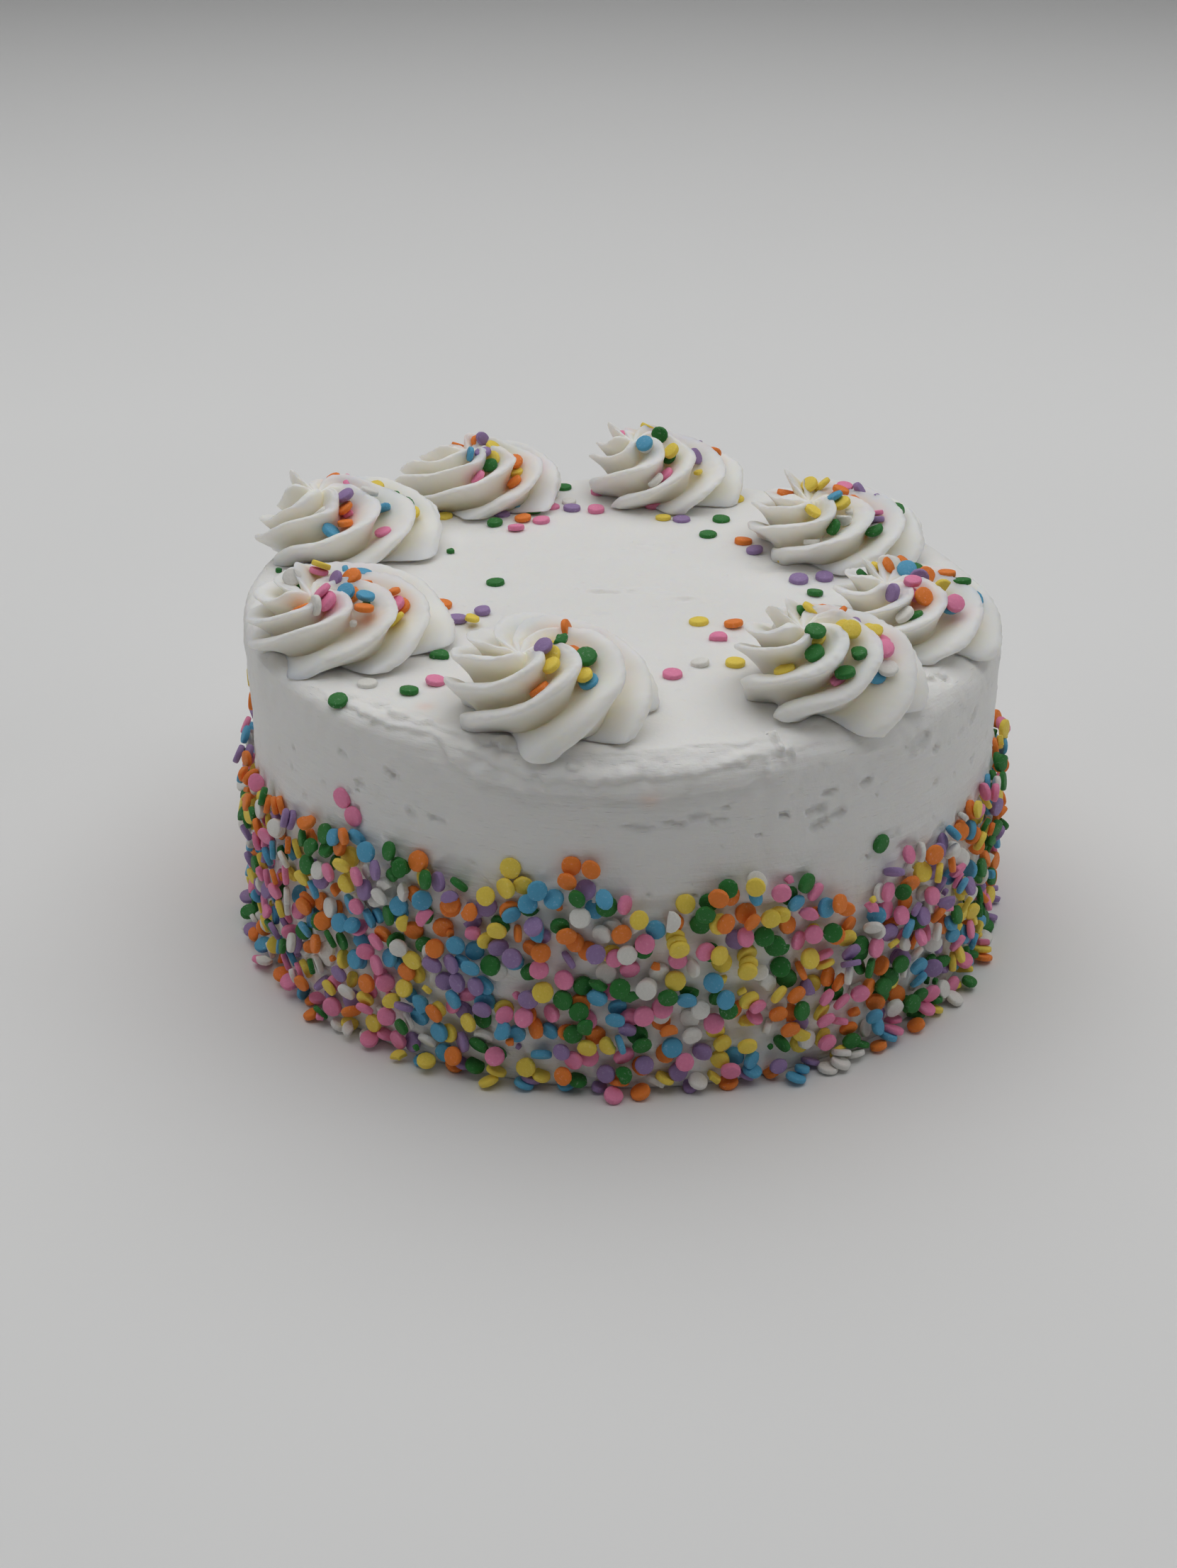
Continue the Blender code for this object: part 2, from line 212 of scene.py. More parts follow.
# Relief of the piping: how far it stands out, and how large its lumps are
STRAND_SWELL = (0.00022, 0.085)
LIP_RAGS = (0.00030, 0.0016)
PIPING_WARP = (0.0009, 0.012)
PIPING_JAG = (0.00011, 0.0024)

# Crest of an arm at the base, half way and at the crown: flat share, rounding and hollow
RIDGE_SHAPES = ((0.150, 0.085, 1.10), (0.115, 0.070, 1.20), (0.105, 0.085, 1.10))

# Where across an arm its valley lies, for each rosette
VALLEYS = (0.32, 0.36, 0.38, 0.32, 0.30, 0.28, 0.26, 0.46)

# Each rosette: degrees round the cake, reach from its centre, radius, share of that radius front to
# back, rise, extra height of the crown, and how far the peak leans
Rosette = namedtuple("Rosette", "degrees reach radius squash rise crown peak")
ROSETTES = (
    Rosette(203.5, 0.0870, 0.0288, 0.97, 0.0160, 0.0010, (-0.010, -0.005)),
    Rosette(152.5, 0.0975, 0.0292, 1.00, 0.0150, 0.0035, (-0.010, -0.001)),
    Rosette(118.5, 0.0990, 0.0282, 0.84, 0.0145, 0.0025, (-0.003, 0.000)),
    Rosette(80.0, 0.0935, 0.0254, 0.96, 0.0158, 0.0035, (-0.012, 0.000)),
    Rosette(31.0, 0.0800, 0.0280, 1.00, 0.0150, 0.0015, (-0.009, -0.002)),
    Rosette(-19.0, 0.0900, 0.0248, 1.00, 0.0142, 0.0015, (-0.009, 0.001)),
    Rosette(-52.3, 0.0912, 0.0258, 0.96, 0.0196, 0.0020, (-0.008, -0.003)),
    Rosette(-103.4, 0.0866, 0.0281, 0.98, 0.0214, 0.0000, (-0.009, -0.006)),
)

# Most pieces of confetti caught in each rosette, and tries to place them
ROSETTE_CONFETTI = (38, 42, 24, 32, 34, 28, 34, 44)
ROSETTE_TRIES = 400

# Torn points of each crown: degrees round the rosette, height in metres
TORN_POINTS = (
    ((150, 0.0036), (250, 0.0012), (20, 0.0010)),
    ((165, 0.0062), (215, 0.0026), (70, 0.0010)),
    ((120, 0.0022), (30, 0.0014), (230, 0.0018)),
    ((165, 0.0030), (60, 0.0012), (240, 0.0010)),
    ((170, 0.0052), (110, 0.0024), (300, 0.0010)),
    ((160, 0.0034), (100, 0.0030), (240, 0.0010)),
    ((185, 0.0034), (125, 0.0030), (30, 0.0010)),
    ((170, 0.0004), (60, 0.0006), (300, 0.0002)),
)

# Larger air pits of the wall: degrees, height, half length, half height, slant in degrees
PITS = (
    (-88.5, 0.0836, 0.0042, 0.0009, 0),
    (-80.5, 0.0862, 0.0026, 0.0011, 6),
    (-83.5, 0.0845, 0.0032, 0.0009, 0),
    (-78.0, 0.0846, 0.0030, 0.0009, 0),
    (-68.5, 0.0830, 0.0014, 0.0007, 0),
    (-63.5, 0.0825, 0.0032, 0.0013, 16),
    (-60.0, 0.0802, 0.0030, 0.0012, 30),
    (-63.0, 0.0780, 0.0028, 0.0011, 24),
    (-61.5, 0.0868, 0.0022, 0.0007, 8),
    (-55.5, 0.0868, 0.0022, 0.0010, 10),
    (-45.0, 0.0925, 0.0048, 0.0021, 16),
    (-41.0, 0.0880, 0.0018, 0.0009, 20),
    (-30.0, 0.0890, 0.0030, 0.0012, 30),
    (-133.0, 0.0905, 0.0018, 0.0009, -14),
    (-124.0, 0.0900, 0.0024, 0.0011, -16),
    (-130.0, 0.0835, 0.0022, 0.0010, -10),
    (-117.0, 0.0800, 0.0028, 0.0010, -14),
    (-121.0, 0.0795, 0.0018, 0.0014, -20),
    (24.0, 0.0860, 0.0040, 0.0015, 10),
    (71.0, 0.0820, 0.0046, 0.0018, 14),
    (75.0, 0.0795, 0.0030, 0.0012, 6),
    (122.0, 0.0850, 0.0034, 0.0013, 0),
    (163.0, 0.0830, 0.0040, 0.0014, 8),
)

# Flakes of torn icing at the rim: degrees, millimetres below the top, half width, half length, stand
FLAKES = (
    (-68.8, 2.6, 0.0009, 0.0034, 0.0024),
    (-67.2, 4.4, 0.0007, 0.0022, 0.0016),
    (-71.0, 6.6, 0.0008, 0.0020, 0.0012),
    (-128.0, 3.4, 0.0012, 0.0012, 0.0012),
    (-97.5, 5.2, 0.0016, 0.0007, 0.0010),
    (-83.0, 9.8, 0.0018, 0.0007, 0.0011),
    (40.0, 4.0, 0.0014, 0.0010, 0.0014),
    (104.0, 5.0, 0.0010, 0.0020, 0.0015),
    (-34.0, 1.6, 0.0017, 0.0018, -0.0026),
    (-36.4, 0.6, 0.0019, 0.0008, 0.0020),
)

# Scuffs on the flat top: centre and half sizes
SCUFFS = (
    (-0.004, 0.002, 0.020, 0.004),
    (0.022, -0.006, 0.012, 0.003),
    (-0.018, -0.016, 0.014, 0.003),
    (0.010, 0.040, 0.018, 0.004),
    (0.045, 0.020, 0.010, 0.004),
)

# Confetti lying on the top: colour and place in millimetres
TOP_CONFETTI = {
    "green": ((-39, 7), (-53, -48), (-60, -72), (-79, -78), (58, -2), (28, 50), (33, 64), (-19, 97),
              (-29, 71), (-41, 60)),
    "pink": ((-53, -66), (13, -62), (27, -37), (11, 77), (-7, 92), (-8, 73), (-23, 77), (-26, 63),
             (-34, 55)),
    "white": ((-72, -66), (21, -54), (-17, 82)),
    "purple": ((-42, -17), (-49, -23), (-99, 18), (54, 9), (62, 11), (42, 34), (20, 64), (-16, 75),
               (-39, 69)),
    "yellow": ((-45, -26), (22, -24), (31, -54), (51, 26), (14, 65), (39, 84), (-25, 91), (-58, 68)),
    "orange": ((-54, -12), (32, -27), (39, 43), (-32, 64)),
    "blue": ((18, 76), (-33, 75)),
}

# Confetti above the band: degrees, height and colour
WALL_STRAYS = (
    (-179.0, 0.0773, "yellow"),
    (-177.0, 0.0712, "orange"),
    (-97.6, 0.0716, "orange"),
    (-94.9, 0.0714, "orange"),
    (-52.0, 0.0660, "green"),
    (-106.0, 0.0690, "yellow"),
    (-133.6, 0.0765, "pink"),
    (-131.4, 0.0722, "pink"),
    (64.0, 0.0740, "blue"),
    (126.0, 0.0750, "pink"),
)

# Colours of the confetti, their shares, and how strongly each runs into the icing
COLOURS = ("pink", "purple", "orange", "yellow", "green", "blue", "white")
SHARES = (0.155, 0.11, 0.18, 0.165, 0.15, 0.115, 0.125)
DYE = {"pink": 1.0, "purple": 0.4, "orange": 1.0, "yellow": 0.8, "green": 0.35, "blue": 0.35}

# Sides of a disc, and the rings of its rounded edge: share of its radius and of its half thickness
DISC_SIDES = 14
DISC_RINGS = ((0.84, 1.0), (0.955, 0.82), (1.0, 0.36), (1.0, -0.36), (0.955, -0.82), (0.84, -1.0))
DISC_POINTS = len(DISC_RINGS) * DISC_SIDES + 2

# Kinds of confetti, and their shares on the wall and the rosettes, for strays and for chips
KINDS = ("whole", "oval", "broken", "chip")
USUAL = (0.70, 0.14, 0.12, 0.04)
STRAY = (0.72, 0.18, 0.10, 0.0)
CHIP = (0, 0, 0, 1)

# How confetti lies: side of a cell of the search grid, reach of a neighbour and of an overlap in
# radii, least slope between two pieces, and share of pieces that take a neighbour's colour
CELL = 0.007
NEIGHBOUR = 2.3
OVERLAP = 0.94
LEAST_SLOPE = 0.35
SAME_COLOUR = 0.15

# Tries to place confetti on the wall, its least height there, and room for it over the solids' top
WALL_TRIES = 52000
LEAST_HEIGHT = 0.0030
CROWN_ROOM = 0.0028

# Part of the band at the front that has less confetti low down, as centre and half width
SPARSE_CENTRE = math.radians(-93)
SPARSE_HALF = math.radians(34)

# Small chips on the top, as colour and place, and specks of dye, as place, in millimetres
TOP_CHIPS = (("green", -54, 35), ("green", -53, -37), ("green", -107, 20), ("purple", 12, 84))
SPECKS = ((-55, -81, 103), (6, -113, 93))

# Painted warm shade in the hollows of the piping, paler painted light on the icing under the confetti, and
# their shares
PAINTED_HOLLOW_SHADE = (0.96, 0.86, 0.62, 0.50)
PAINTED_BAND_LIGHT = (0.99, 0.968, 0.920, 0.60)

# How strongly dye runs from a piece of confetti, how far, and the most of it in one place
BODY_DYE = (0.10, 0.0050, 0.18)
PIPING_DYE = (0.24, 0.0085, 0.42)

# Finish of the icing: grain, spatula drag, bump, and how much and how deep light sinks in
BODY_FINISH = (900.0, 1.0, 0.75, 0.35, 0.004)
PIPING_FINISH = (700.0, 0.0, 0.22, 0.70, 0.009)

# Lights: name, place, the point they look at and their side
OVERHEAD = ("overhead_light", (0.05, 0.37, 1.82), (0.0, 0.0, 0.0), 3.0)
SIDES = (
    ("left_light", (-1.8, -0.30, 0.8), (0.0, 0.0, 0.06), 1.0),
    ("right_light", (1.8, -0.30, 0.9), (0.0, 0.0, 0.06), 1.0),
)

# Share of the side lights' power that each of the two gives
SIDE_POWER = 1.2

# Backdrop: half width, front, back, radius of the bend, and top of the sheet
BACKDROP = (4.0, -4.0, 3.4, 1.1, 2.8)
BEND_STEPS = 12

# Camera: focal length and picture height in pixels, place, and degrees that it looks down
FOCAL_PIXELS = 3300
PICTURE_HEIGHT = 2212
FILM = 36.0
CAMERA_PLACE = (-0.0105, -0.6608, 0.3694)
CAMERA_PITCH = 26.53

SEED = 20


def smooth(low, high, value):
    """0 below low, 1 above high and a smooth rise between, for numbers or arrays."""
    share = np.clip((value - low) / (high - low), 0.0, 1.0)
    return share * share * (3 - 2 * share)


def away(angle, centre):
    """How far each angle lies from a centre, either way round."""
    return np.abs((angle - centre + np.pi) % (2 * np.pi) - np.pi)


def along(painted_tone_marks, angle):
    """Value read at each angle from marks of degrees and value that run round the cake."""
    degrees, values = zip(*painted_tone_marks)
    return np.interp(np.degrees(angle), degrees, values, period=360)


class Noise:
    """Smooth noise over space that is the same on every run."""

    def __init__(self, seed):
        draw = np.random.default_rng(seed)
        self.order = np.tile(draw.permutation(256), 3)
        slopes = draw.normal(size=(256, 3))
        self.slopes = slopes / np.linalg.norm(slopes, axis=1, keepdims=True)

    def __call__(self, points, size):
        """About -1 to 1 at each point, with lumps of this size, one number or one for each axis."""
        shape = points.shape[:-1]
        grid = points.reshape(-1, 3) / np.asarray(size)
        cell = np.floor(grid).astype(int)
        inside = grid - cell
        fade = inside**3 * (inside * (inside * 6 - 15) + 10)
        total = np.zeros(len(grid))
        for corner in itertools.product((0, 1), repeat=3):
            x, y, z = ((cell + corner) & 255).T
            slope = self.slopes[self.order[self.order[self.order[x] + y] + z]]
            weight = np.prod(np.where(corner, fade, 1 - fade), axis=1)
            total += ((inside - corner) * slope).sum(axis=1) * weight
        return (total * 1.6).reshape(shape)


def smooth_mesh(name, spots, faces):
    """A mesh with smooth shading."""
    mesh = bpy.data.meshes.new(name)
    mesh.from_pydata(spots.tolist(), [], faces)
    mesh.polygons.foreach_set("use_smooth", [True] * len(mesh.polygons))
    mesh.update()
    return mesh


def grid_mesh(name, points, painted_tone_marks, first, last, steps):
    """A smooth mesh over rows of points that close round on themselves, with an end point each way.

    Each row keeps one column in as many as its step says, and a row's step is its next row's or twice it.
    Every point has its share of painted light and shade, which its material uses.
    """
    rows = [row[::step] for row, step in zip(points, steps)]
    kept = [row[::step] for row, step in zip(painted_tone_marks, steps)]
    starts = np.concatenate(([0], np.cumsum([len(row) for row in rows])))
    faces = []
    for upper, lower, row, following in zip(starts, starts[1:], rows, rows[1:]):
        count = len(row)
        share = len(following) // count
        index = np.arange(count)
        after = (index + 1) % count
        sides = [upper + index] + [lower + share * index + k for k in range(share)]
        faces += np.stack(sides + [lower + share * after, upper + after], axis=-1).tolist()
    end = starts[-1]
    count = len(rows[0])
    faces += [(end, i, (i + 1) % count) for i in range(count)]
    count = len(rows[-1])
    bottom = end - count
    faces += [(end + 1, bottom + (i + 1) % count, bottom + i) for i in range(count)]
    mesh = smooth_mesh(name, np.vstack(rows + [[first, last]]), faces)
    values = np.concatenate(kept + [[0.0, 0.0]]).astype(np.float32)
    mesh.attributes.new("marked", "FLOAT", "POINT").data.foreach_set("value", values)
    return mesh


def add_piece(name, mesh, material, slot, *nodes):
    """A piece of the cake that rides on its body and stands for the given nodes."""
    piece = bpy.data.objects.new(name, mesh)
    bpy.context.scene.collection.objects.link(piece)
    mesh.materials.append(material)
    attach(piece, "root")
    if nodes:
        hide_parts(*nodes)


def top_height(reach):
    """Height of the iced top, a low dome."""
    icing = bpy.context.scene.cake_icing
    return icing.height - DOME_DROP * (reach / icing.radius) ** 2


def wall_radius(angle, height):
    """Plain radius of the iced wall, a little fuller near the rim at the back left."""
    icing = bpy.context.scene.cake_icing
    plain = icing.foot_radius + (icing.radius - icing.foot_radius) * smooth(0, icing.height, height)
    full = (1 - smooth(0, FULL_HALF, away(angle, FULL_CENTRE))) * smooth(0.06, 0.09, height)
    return plain + FULL_OUT * full


def body_rows(icing):
    """Points, outward directions and distance below the flat top for the plain iced body."""
    angle = np.linspace(0, 2 * np.pi, COLUMNS, endpoint=False)[None, :]
    flat = icing.radius - RIM_IN
    rim_foot = icing.height - DOME_DROP - RIM_DROP
    power = ROUND_RIM + (FULL_RIM - ROUND_RIM) * (
        1 - smooth(0.4 * FULL_RIM_HALF, FULL_RIM_HALF, away(angle, FULL_RIM_CENTRE))
    )
    ones = np.ones_like(angle)
    inner = np.linspace(INNERMOST, INNER_REACH, INNER_ROWS, endpoint=False)
    top = np.concatenate((inner, np.linspace(INNER_REACH, flat, OUTER_ROWS)))[:, None] * ones
    bend = np.linspace(0, np.pi / 2, RIM_ROWS)[1:, None]
    upper = np.linspace(rim_foot, LOWER_WALL, UPPER_ROWS)[1:]
    lower = np.linspace(LOWER_WALL, WALL_FOOT, LOWER_ROWS)[1:]
    drop = np.concatenate((upper, lower))[:, None] * ones
    swell = wall_radius(angle, rim_foot) - icing.radius
    rim = flat + RIM_IN * np.sin(bend) ** (2 / power) + swell * np.sin(bend)
    rim_height = rim_foot + RIM_DROP * np.clip(np.cos(bend), 0, 1) ** (2 / power)
    reach = np.vstack((top, rim, wall_radius(angle, drop)))
    height = np.vstack((top_height(top), rim_height, drop))
    outward = np.vstack((0 * top, np.sin(bend) * ones, 0 * drop + 1))
    upward = np.vstack((0 * top + 1, np.cos(bend) * ones, 0 * drop))
    below = np.vstack((top - flat, RIM_DROP * bend / (np.pi / 2) * ones, RIM_DROP + rim_foot - drop))
    return angle * np.ones_like(reach), reach, height, outward, upward, below


def lumps(noise, points, relief):
    """How far each point stands out in a relief, given as its height and the size of its lumps."""
    height, size = relief
    return height * noise(points, size)


def press_pit(push, pit, angle, height, wall, radius, ragged):
    """One flat-bottomed air pit with a ragged outline and a thin raised edge."""
    centre, level, half_long, half_high, slant, depth = pit
    across = ((angle - centre + np.pi) % (2 * np.pi) - np.pi) * radius
    near = wall & (np.abs(across) < 2.2 * half_long) & (np.abs(height - level) < 2.2 * half_long)
    side, rise = across[near], height[near] - level
    run = side * math.cos(slant) + rise * math.sin(slant)
    lift = rise * math.cos(slant) - side * math.sin(slant)
    spread = np.sqrt((run / half_long) ** 2 + (lift / half_high) ** 2) + 0.45 * ragged[near]
    push[near] -= depth * (1 - smooth(0.72, 1.05, spread))
    push[near] += 0.25 * depth * np.exp(-(((spread - 1.25) / 0.22) ** 2))


def air_pits(icing):
    """Oblong air pits smeared along the wall: small ones anywhere, then the larger ones."""
    draw = random.Random(SEED)
    for _ in range(icing.pits):
        centre = draw.uniform(-np.pi, np.pi)
        level = draw.uniform(0.058, 0.0935)
        half_long = 0.0007 + 0.0019 * draw.random() ** 2.5
        half_high = half_long * draw.uniform(0.28, 0.5) + 0.0002
        slant = math.radians(draw.uniform(0, 8) + 18 * smooth(-1.3, -0.4, centre))
        yield centre, level, half_long, half_high, slant, icing.pit_depth * draw.uniform(0.35, 0.8)
    for degrees, level, half_long, half_high, slant in PITS:
        depth = icing.pit_depth * (1.15 if degrees > -75 else 0.8)
        yield math.radians(degrees), level, half_long * 1.1, half_high * 1.3, math.radians(slant), depth


def spread_icing(push, points, wall, band, outward, noise, rough):
    """Lumps and peaks of the icing in the band, and spatula strokes on the bare wall and the top."""
    height, size = BAND_PEAKS
    peaks = np.clip(1 - 2.2 * np.abs(rough(points, size)), 0, 1) ** 2
    uneven = lumps(noise, points, BAND_SWELL) + lumps(rough, points, BAND_LUMPS) + height * peaks
    push += wall * band * uneven
    strokes = lumps(noise, points, FINE_STROKES) + lumps(rough, points, BROAD_STROKES)
    push += np.where(wall, (1 - 0.6 * band) * strokes, 0)
    sweep = lumps(rough, points, FINE_SWEEP) + lumps(noise, points, BROAD_SWEEP)
    push += np.where(outward < 0.05, sweep, 0)


def scuff_top(push, points, outward, noise, rough):
    """Shallow scuffs on the flat top."""
    for x, y, half_long, half_high in SCUFFS:
        run, lift = (points[..., 0] - x) / half_long, (points[..., 1] - y) / half_high
        torn = 1 - smooth(0.5, 1.1, np.sqrt(run**2 + lift**2) + 0.5 * noise(points, 0.006))
        push -= np.where(outward < 0.05, SCUFF_DEPTH * torn * (0.5 + rough(points, (0.008, 0.0025, 0.01))), 0)


def fold_rim(push, angle, below, icing, points, noise, rough):
    """Overlapping folds of icing, each with a sharp lower edge that stands out and a soft back."""
    wander = lumps(noise, points, FOLD_WANDER) + lumps(rough, points, FOLD_JAG)
    swell = 0.72 + 0.45 * noise(points, (0.020, 0.020, 0.02)) + 0.3 * rough(points, 0.006)
    for path, strength, stand, fade in FOLDS:
        above = along(path, angle) / 1000 + wander - below
        raised = smooth(-0.0002, 0.0004, above) * (1 - smooth(0.0008, fade, above))
        push += icing.folds * stand * along(strength, angle) * swell * raised


def add_flakes(push, angle, below, icing, points, rough):
    """Flakes of torn icing and the holes that they left."""
    for degrees, level, half_wide, half_long, stand in FLAKES:
        side = away(angle, math.radians(degrees)) * icing.radius / half_wide
        spread = np.hypot(side, (below - level / 1000) / half_long) + 0.5 * rough(points, 0.0016)
        push += stand * (1 - smooth(0.2, 1.1, spread))


def icing_relief(icing, angle, reach, height, outward, below):
    """How far each point of the body stands out from its plain shape."""
    noise, rough = Noise(SEED), Noise(SEED + 1)
    points = np.stack((reach * np.cos(angle), reach * np.sin(angle), height), axis=-1)
    wall = outward > 0.85
    band = 1 - smooth(-0.004, 0.006, height - along(BAND_EDGE, angle))
    push = lumps(noise, points, SWELL) + lumps(noise, points, RIPPLE)
    spread_icing(push, points, wall, band, outward, noise, rough)
    scuff_top(push, points, outward, noise, rough)
    ragged = rough(points, 0.0021)
    for pit in air_pits(icing):
        press_pit(push, pit, angle, height, wall, icing.radius, ragged)
    fold_rim(push, angle, below, icing, points, noise, rough)
    add_flakes(push, angle, below, icing, points, rough)
    seam = away(angle, SEAM_PLACE) * icing.radius
    push -= wall * (1 - band) * SEAM_DEPTH * np.exp(-((seam / SEAM_WIDTH) ** 2))
    crumble, size = RIM_CRUMBLE
    push += crumble * smooth(0.02, 0.3, outward) * (1 - smooth(0.012, 0.016, below)) * rough(points, size)
    return push * smooth(0.0, 0.004, height)


def ice_body(icing):
    """The iced cake without its toppings, as one smooth mesh."""
    angle, reach, height, outward, upward, below = body_rows(icing)
    push = icing_relief(icing, angle, reach, height, outward, below)
    reach = reach + push * outward
    height = height + push * upward
    foot = reach[-1:] - FOOT_ROUND
    reach = np.vstack((reach, foot, foot * 0.9))
    height = np.vstack((height, 0 * foot, 0 * foot))
    angle = np.vstack((angle, angle[:2]))
    points = np.stack((reach * np.cos(angle), reach * np.sin(angle), height), axis=-1)
    steps = [4] * INNER_ROWS + [2] * OUTER_ROWS + [1] * (len(points) - INNER_ROWS - OUTER_ROWS)
    # Painted light: share of the paler tone on the icing of the sprinkled band, below its ragged edge
    edge = along(BAND_EDGE, angle)
    painted_tone_marks = (1 - smooth(edge - 0.008, edge, height)) * (height < 0.09)
    return grid_mesh("iced_body", points, painted_tone_marks, (0, 0, float(height[0].mean())), (0, 0, 0), steps)


def rosette_place(spec):
    """Centre of a rosette in plan."""
    angle = math.radians(spec.degrees)
    return spec.reach * math.cos(angle), spec.reach * math.sin(angle)


def seat_height(x, y):
    """Height the piped icing settles to, which hangs a little over the rim."""
    icing = bpy.context.scene.cake_icing
    reach = np.hypot(x, y)
    return top_height(reach) - RIM_DROOP * smooth(icing.radius - RIM_IN, icing.radius + RIM_IN, reach)


def ridge_profile(flat, roundness, bend):
    """Height of one piped arm at even steps across its width, with its crest and valley rounded."""
    spots = np.arange(RIDGE_SPOTS) / RIDGE_SPOTS
    steep = np.clip(1 - (spots - flat) / (VALLEY - flat), 0, 1) ** bend
    hollow = np.clip((spots - VALLEY) / (1 - VALLEY - flat), 0, 1) ** bend
    height = np.where(spots < VALLEY, steep, hollow)
    weight = np.exp(-((((spots + 0.5) % 1 - 0.5) / roundness) ** 2))
    rounded = np.fft.ifft(np.fft.fft(height) * np.fft.fft(weight / weight.sum())).real
    rounded = (rounded - rounded.min()) / (rounded.max() - rounded.min())
    return np.append(rounded, rounded[0])


RIDGES = [ridge_profile(*shape) for shape in RIDGE_SHAPES]


def ridge(phase, share):
    """Height of one piped arm across its width: a steep outer side and a long hollow inner one."""
    spots = np.arange(RIDGE_SPOTS + 1) / RIDGE_SPOTS
    base, middle, crown = (np.interp(phase, spots, profile) for profile in RIDGES)
    low = 1 - smooth(0.05, 0.45, share)
    high = smooth(0.55, 0.85, share)
    return middle + (base - middle) * low + (crown - middle) * high


def arm_turn(spec, arms, share):
    """Direction of an arm from its rosette's centre at a share of the way to the crown."""
    return 2 * np.pi * (arms + spec.degrees * TURN_SHARE % 1) / ARMS + ARM_TURN * share


def swirl(spec, gains, arms, share):
    """Points of a piped swirl at places across its arms and shares of the way to its crown."""
    piping = bpy.context.scene.cake_piping
    radius = spec.radius - CREST_INSET - CREST_LEAN
    lower = np.floor(arms).astype(int) % ARMS
    phase = arms % 1
    valley = gains["valley"][lower]
    phase = np.where(phase < valley, phase * VALLEY / valley, 1 - (1 - phase) * (1 - VALLEY) / (1 - valley))
    crest = ridge(phase, share)
    upper = (lower + 1) % ARMS
    blend = smooth(VALLEY - 0.1, 1, phase)
    gain, tear, tip, drift = (
        gains[name][lower] * (1 - blend) + gains[name][upper] * blend
        for name in ("depth", "tear", "tip", "drift")
    )
    blunt = crest * (1 - smooth(0.05, 0.45, share)) * (0.9 - 1.5 * tip)
    power = DOME_POWER + 0.9 * (crest - 0.5) + blunt
    flat = np.clip(np.cos(share * np.pi / 2), 0, 1) ** (2 / power)
    steep = np.sin(share * np.pi / 2) ** (2 / power)
    out = flat ** (power - 1) / radius
    up = steep ** (power - 1) / spec.rise
    size = np.hypot(out, up)
    foot = np.clip(1 - share / 0.14, 0, 1)
    fill = 1 - 0.6 * smooth(0.88, 1.0, share)
    depth = piping.crest * gain * (0.45 + 0.55 * flat) * (crest - 0.56) * fill
    curl = piping.curl * (1 - np.clip(1.4 * tip, 0, 1)) * crest + 0.0008
    reach = CROWN_RADIUS + (radius - CROWN_RADIUS) * flat + depth * out / size
    reach += CREST_LEAN * crest**2 + piping.overhang * crest**5 * smooth(1.0, 0.7, share)
    reach += piping.tip * tip * crest**2.5 * foot**1.5 - curl * np.clip(1 - share / 0.13, 0, 1) ** 2
    height = spec.rise * steep + depth * up / size + spec.crown * gain * smooth(0.75, 1.0, share)
    height += 0.0010 * crest**3 * foot * tip
    torn = tear * np.sqrt(crest) * smooth(0.68, 0.92, share) * (1 - 0.5 * smooth(0.95, 1.0, share))
    turn = arm_turn(spec, arms, share) + drift
    x, y = rosette_place(spec)
    x = x + np.cos(turn) * reach + spec.peak[0] * share**1.5 - 0.22 * torn
    y = y + np.sin(turn) * reach * spec.squash + spec.peak[1] * share**1.5
    return np.stack((x, y, seat_height(x, y) + height + torn + PIPING_LIFT), axis=-1)


def arm_gains(draw, spec, torn_points, valley):
    """Uneven depth, valley, torn tips, base tips and drift of the arms of one rosette."""
    tear = np.zeros(ARMS)
    crowns = arm_turn(spec, np.arange(ARMS), 0.93)
    for degrees, height in torn_points:
        tear[np.argmin(away(crowns, math.radians(degrees)))] = height
    ends = arm_turn(spec, np.arange(ARMS), 0)
    pointed = away(ends, math.radians(-65)) < math.radians(70)
    tips = [draw.choice((0.5, 0.75, 0.95) if sharp else (0.0, 0.0, 0.1, 0.3)) for sharp in pointed]
    return {
        "depth": np.array([draw.uniform(0.84, 1.14) for _ in range(ARMS)]),
        "valley": np.array([valley + draw.uniform(-0.07, 0.07) for _ in range(ARMS)]),
        "tear": tear,
        "tip": np.array(tips),
        "drift": np.array([draw.uniform(-0.13, 0.13) for _ in range(ARMS)]),
    }


def warped(points, noise, relief):
    """Points moved to and fro in all directions by a relief."""
    height, size = relief
    return height * np.stack([noise(points + 0.1 * axis, size) for axis in range(3)], axis=-1)


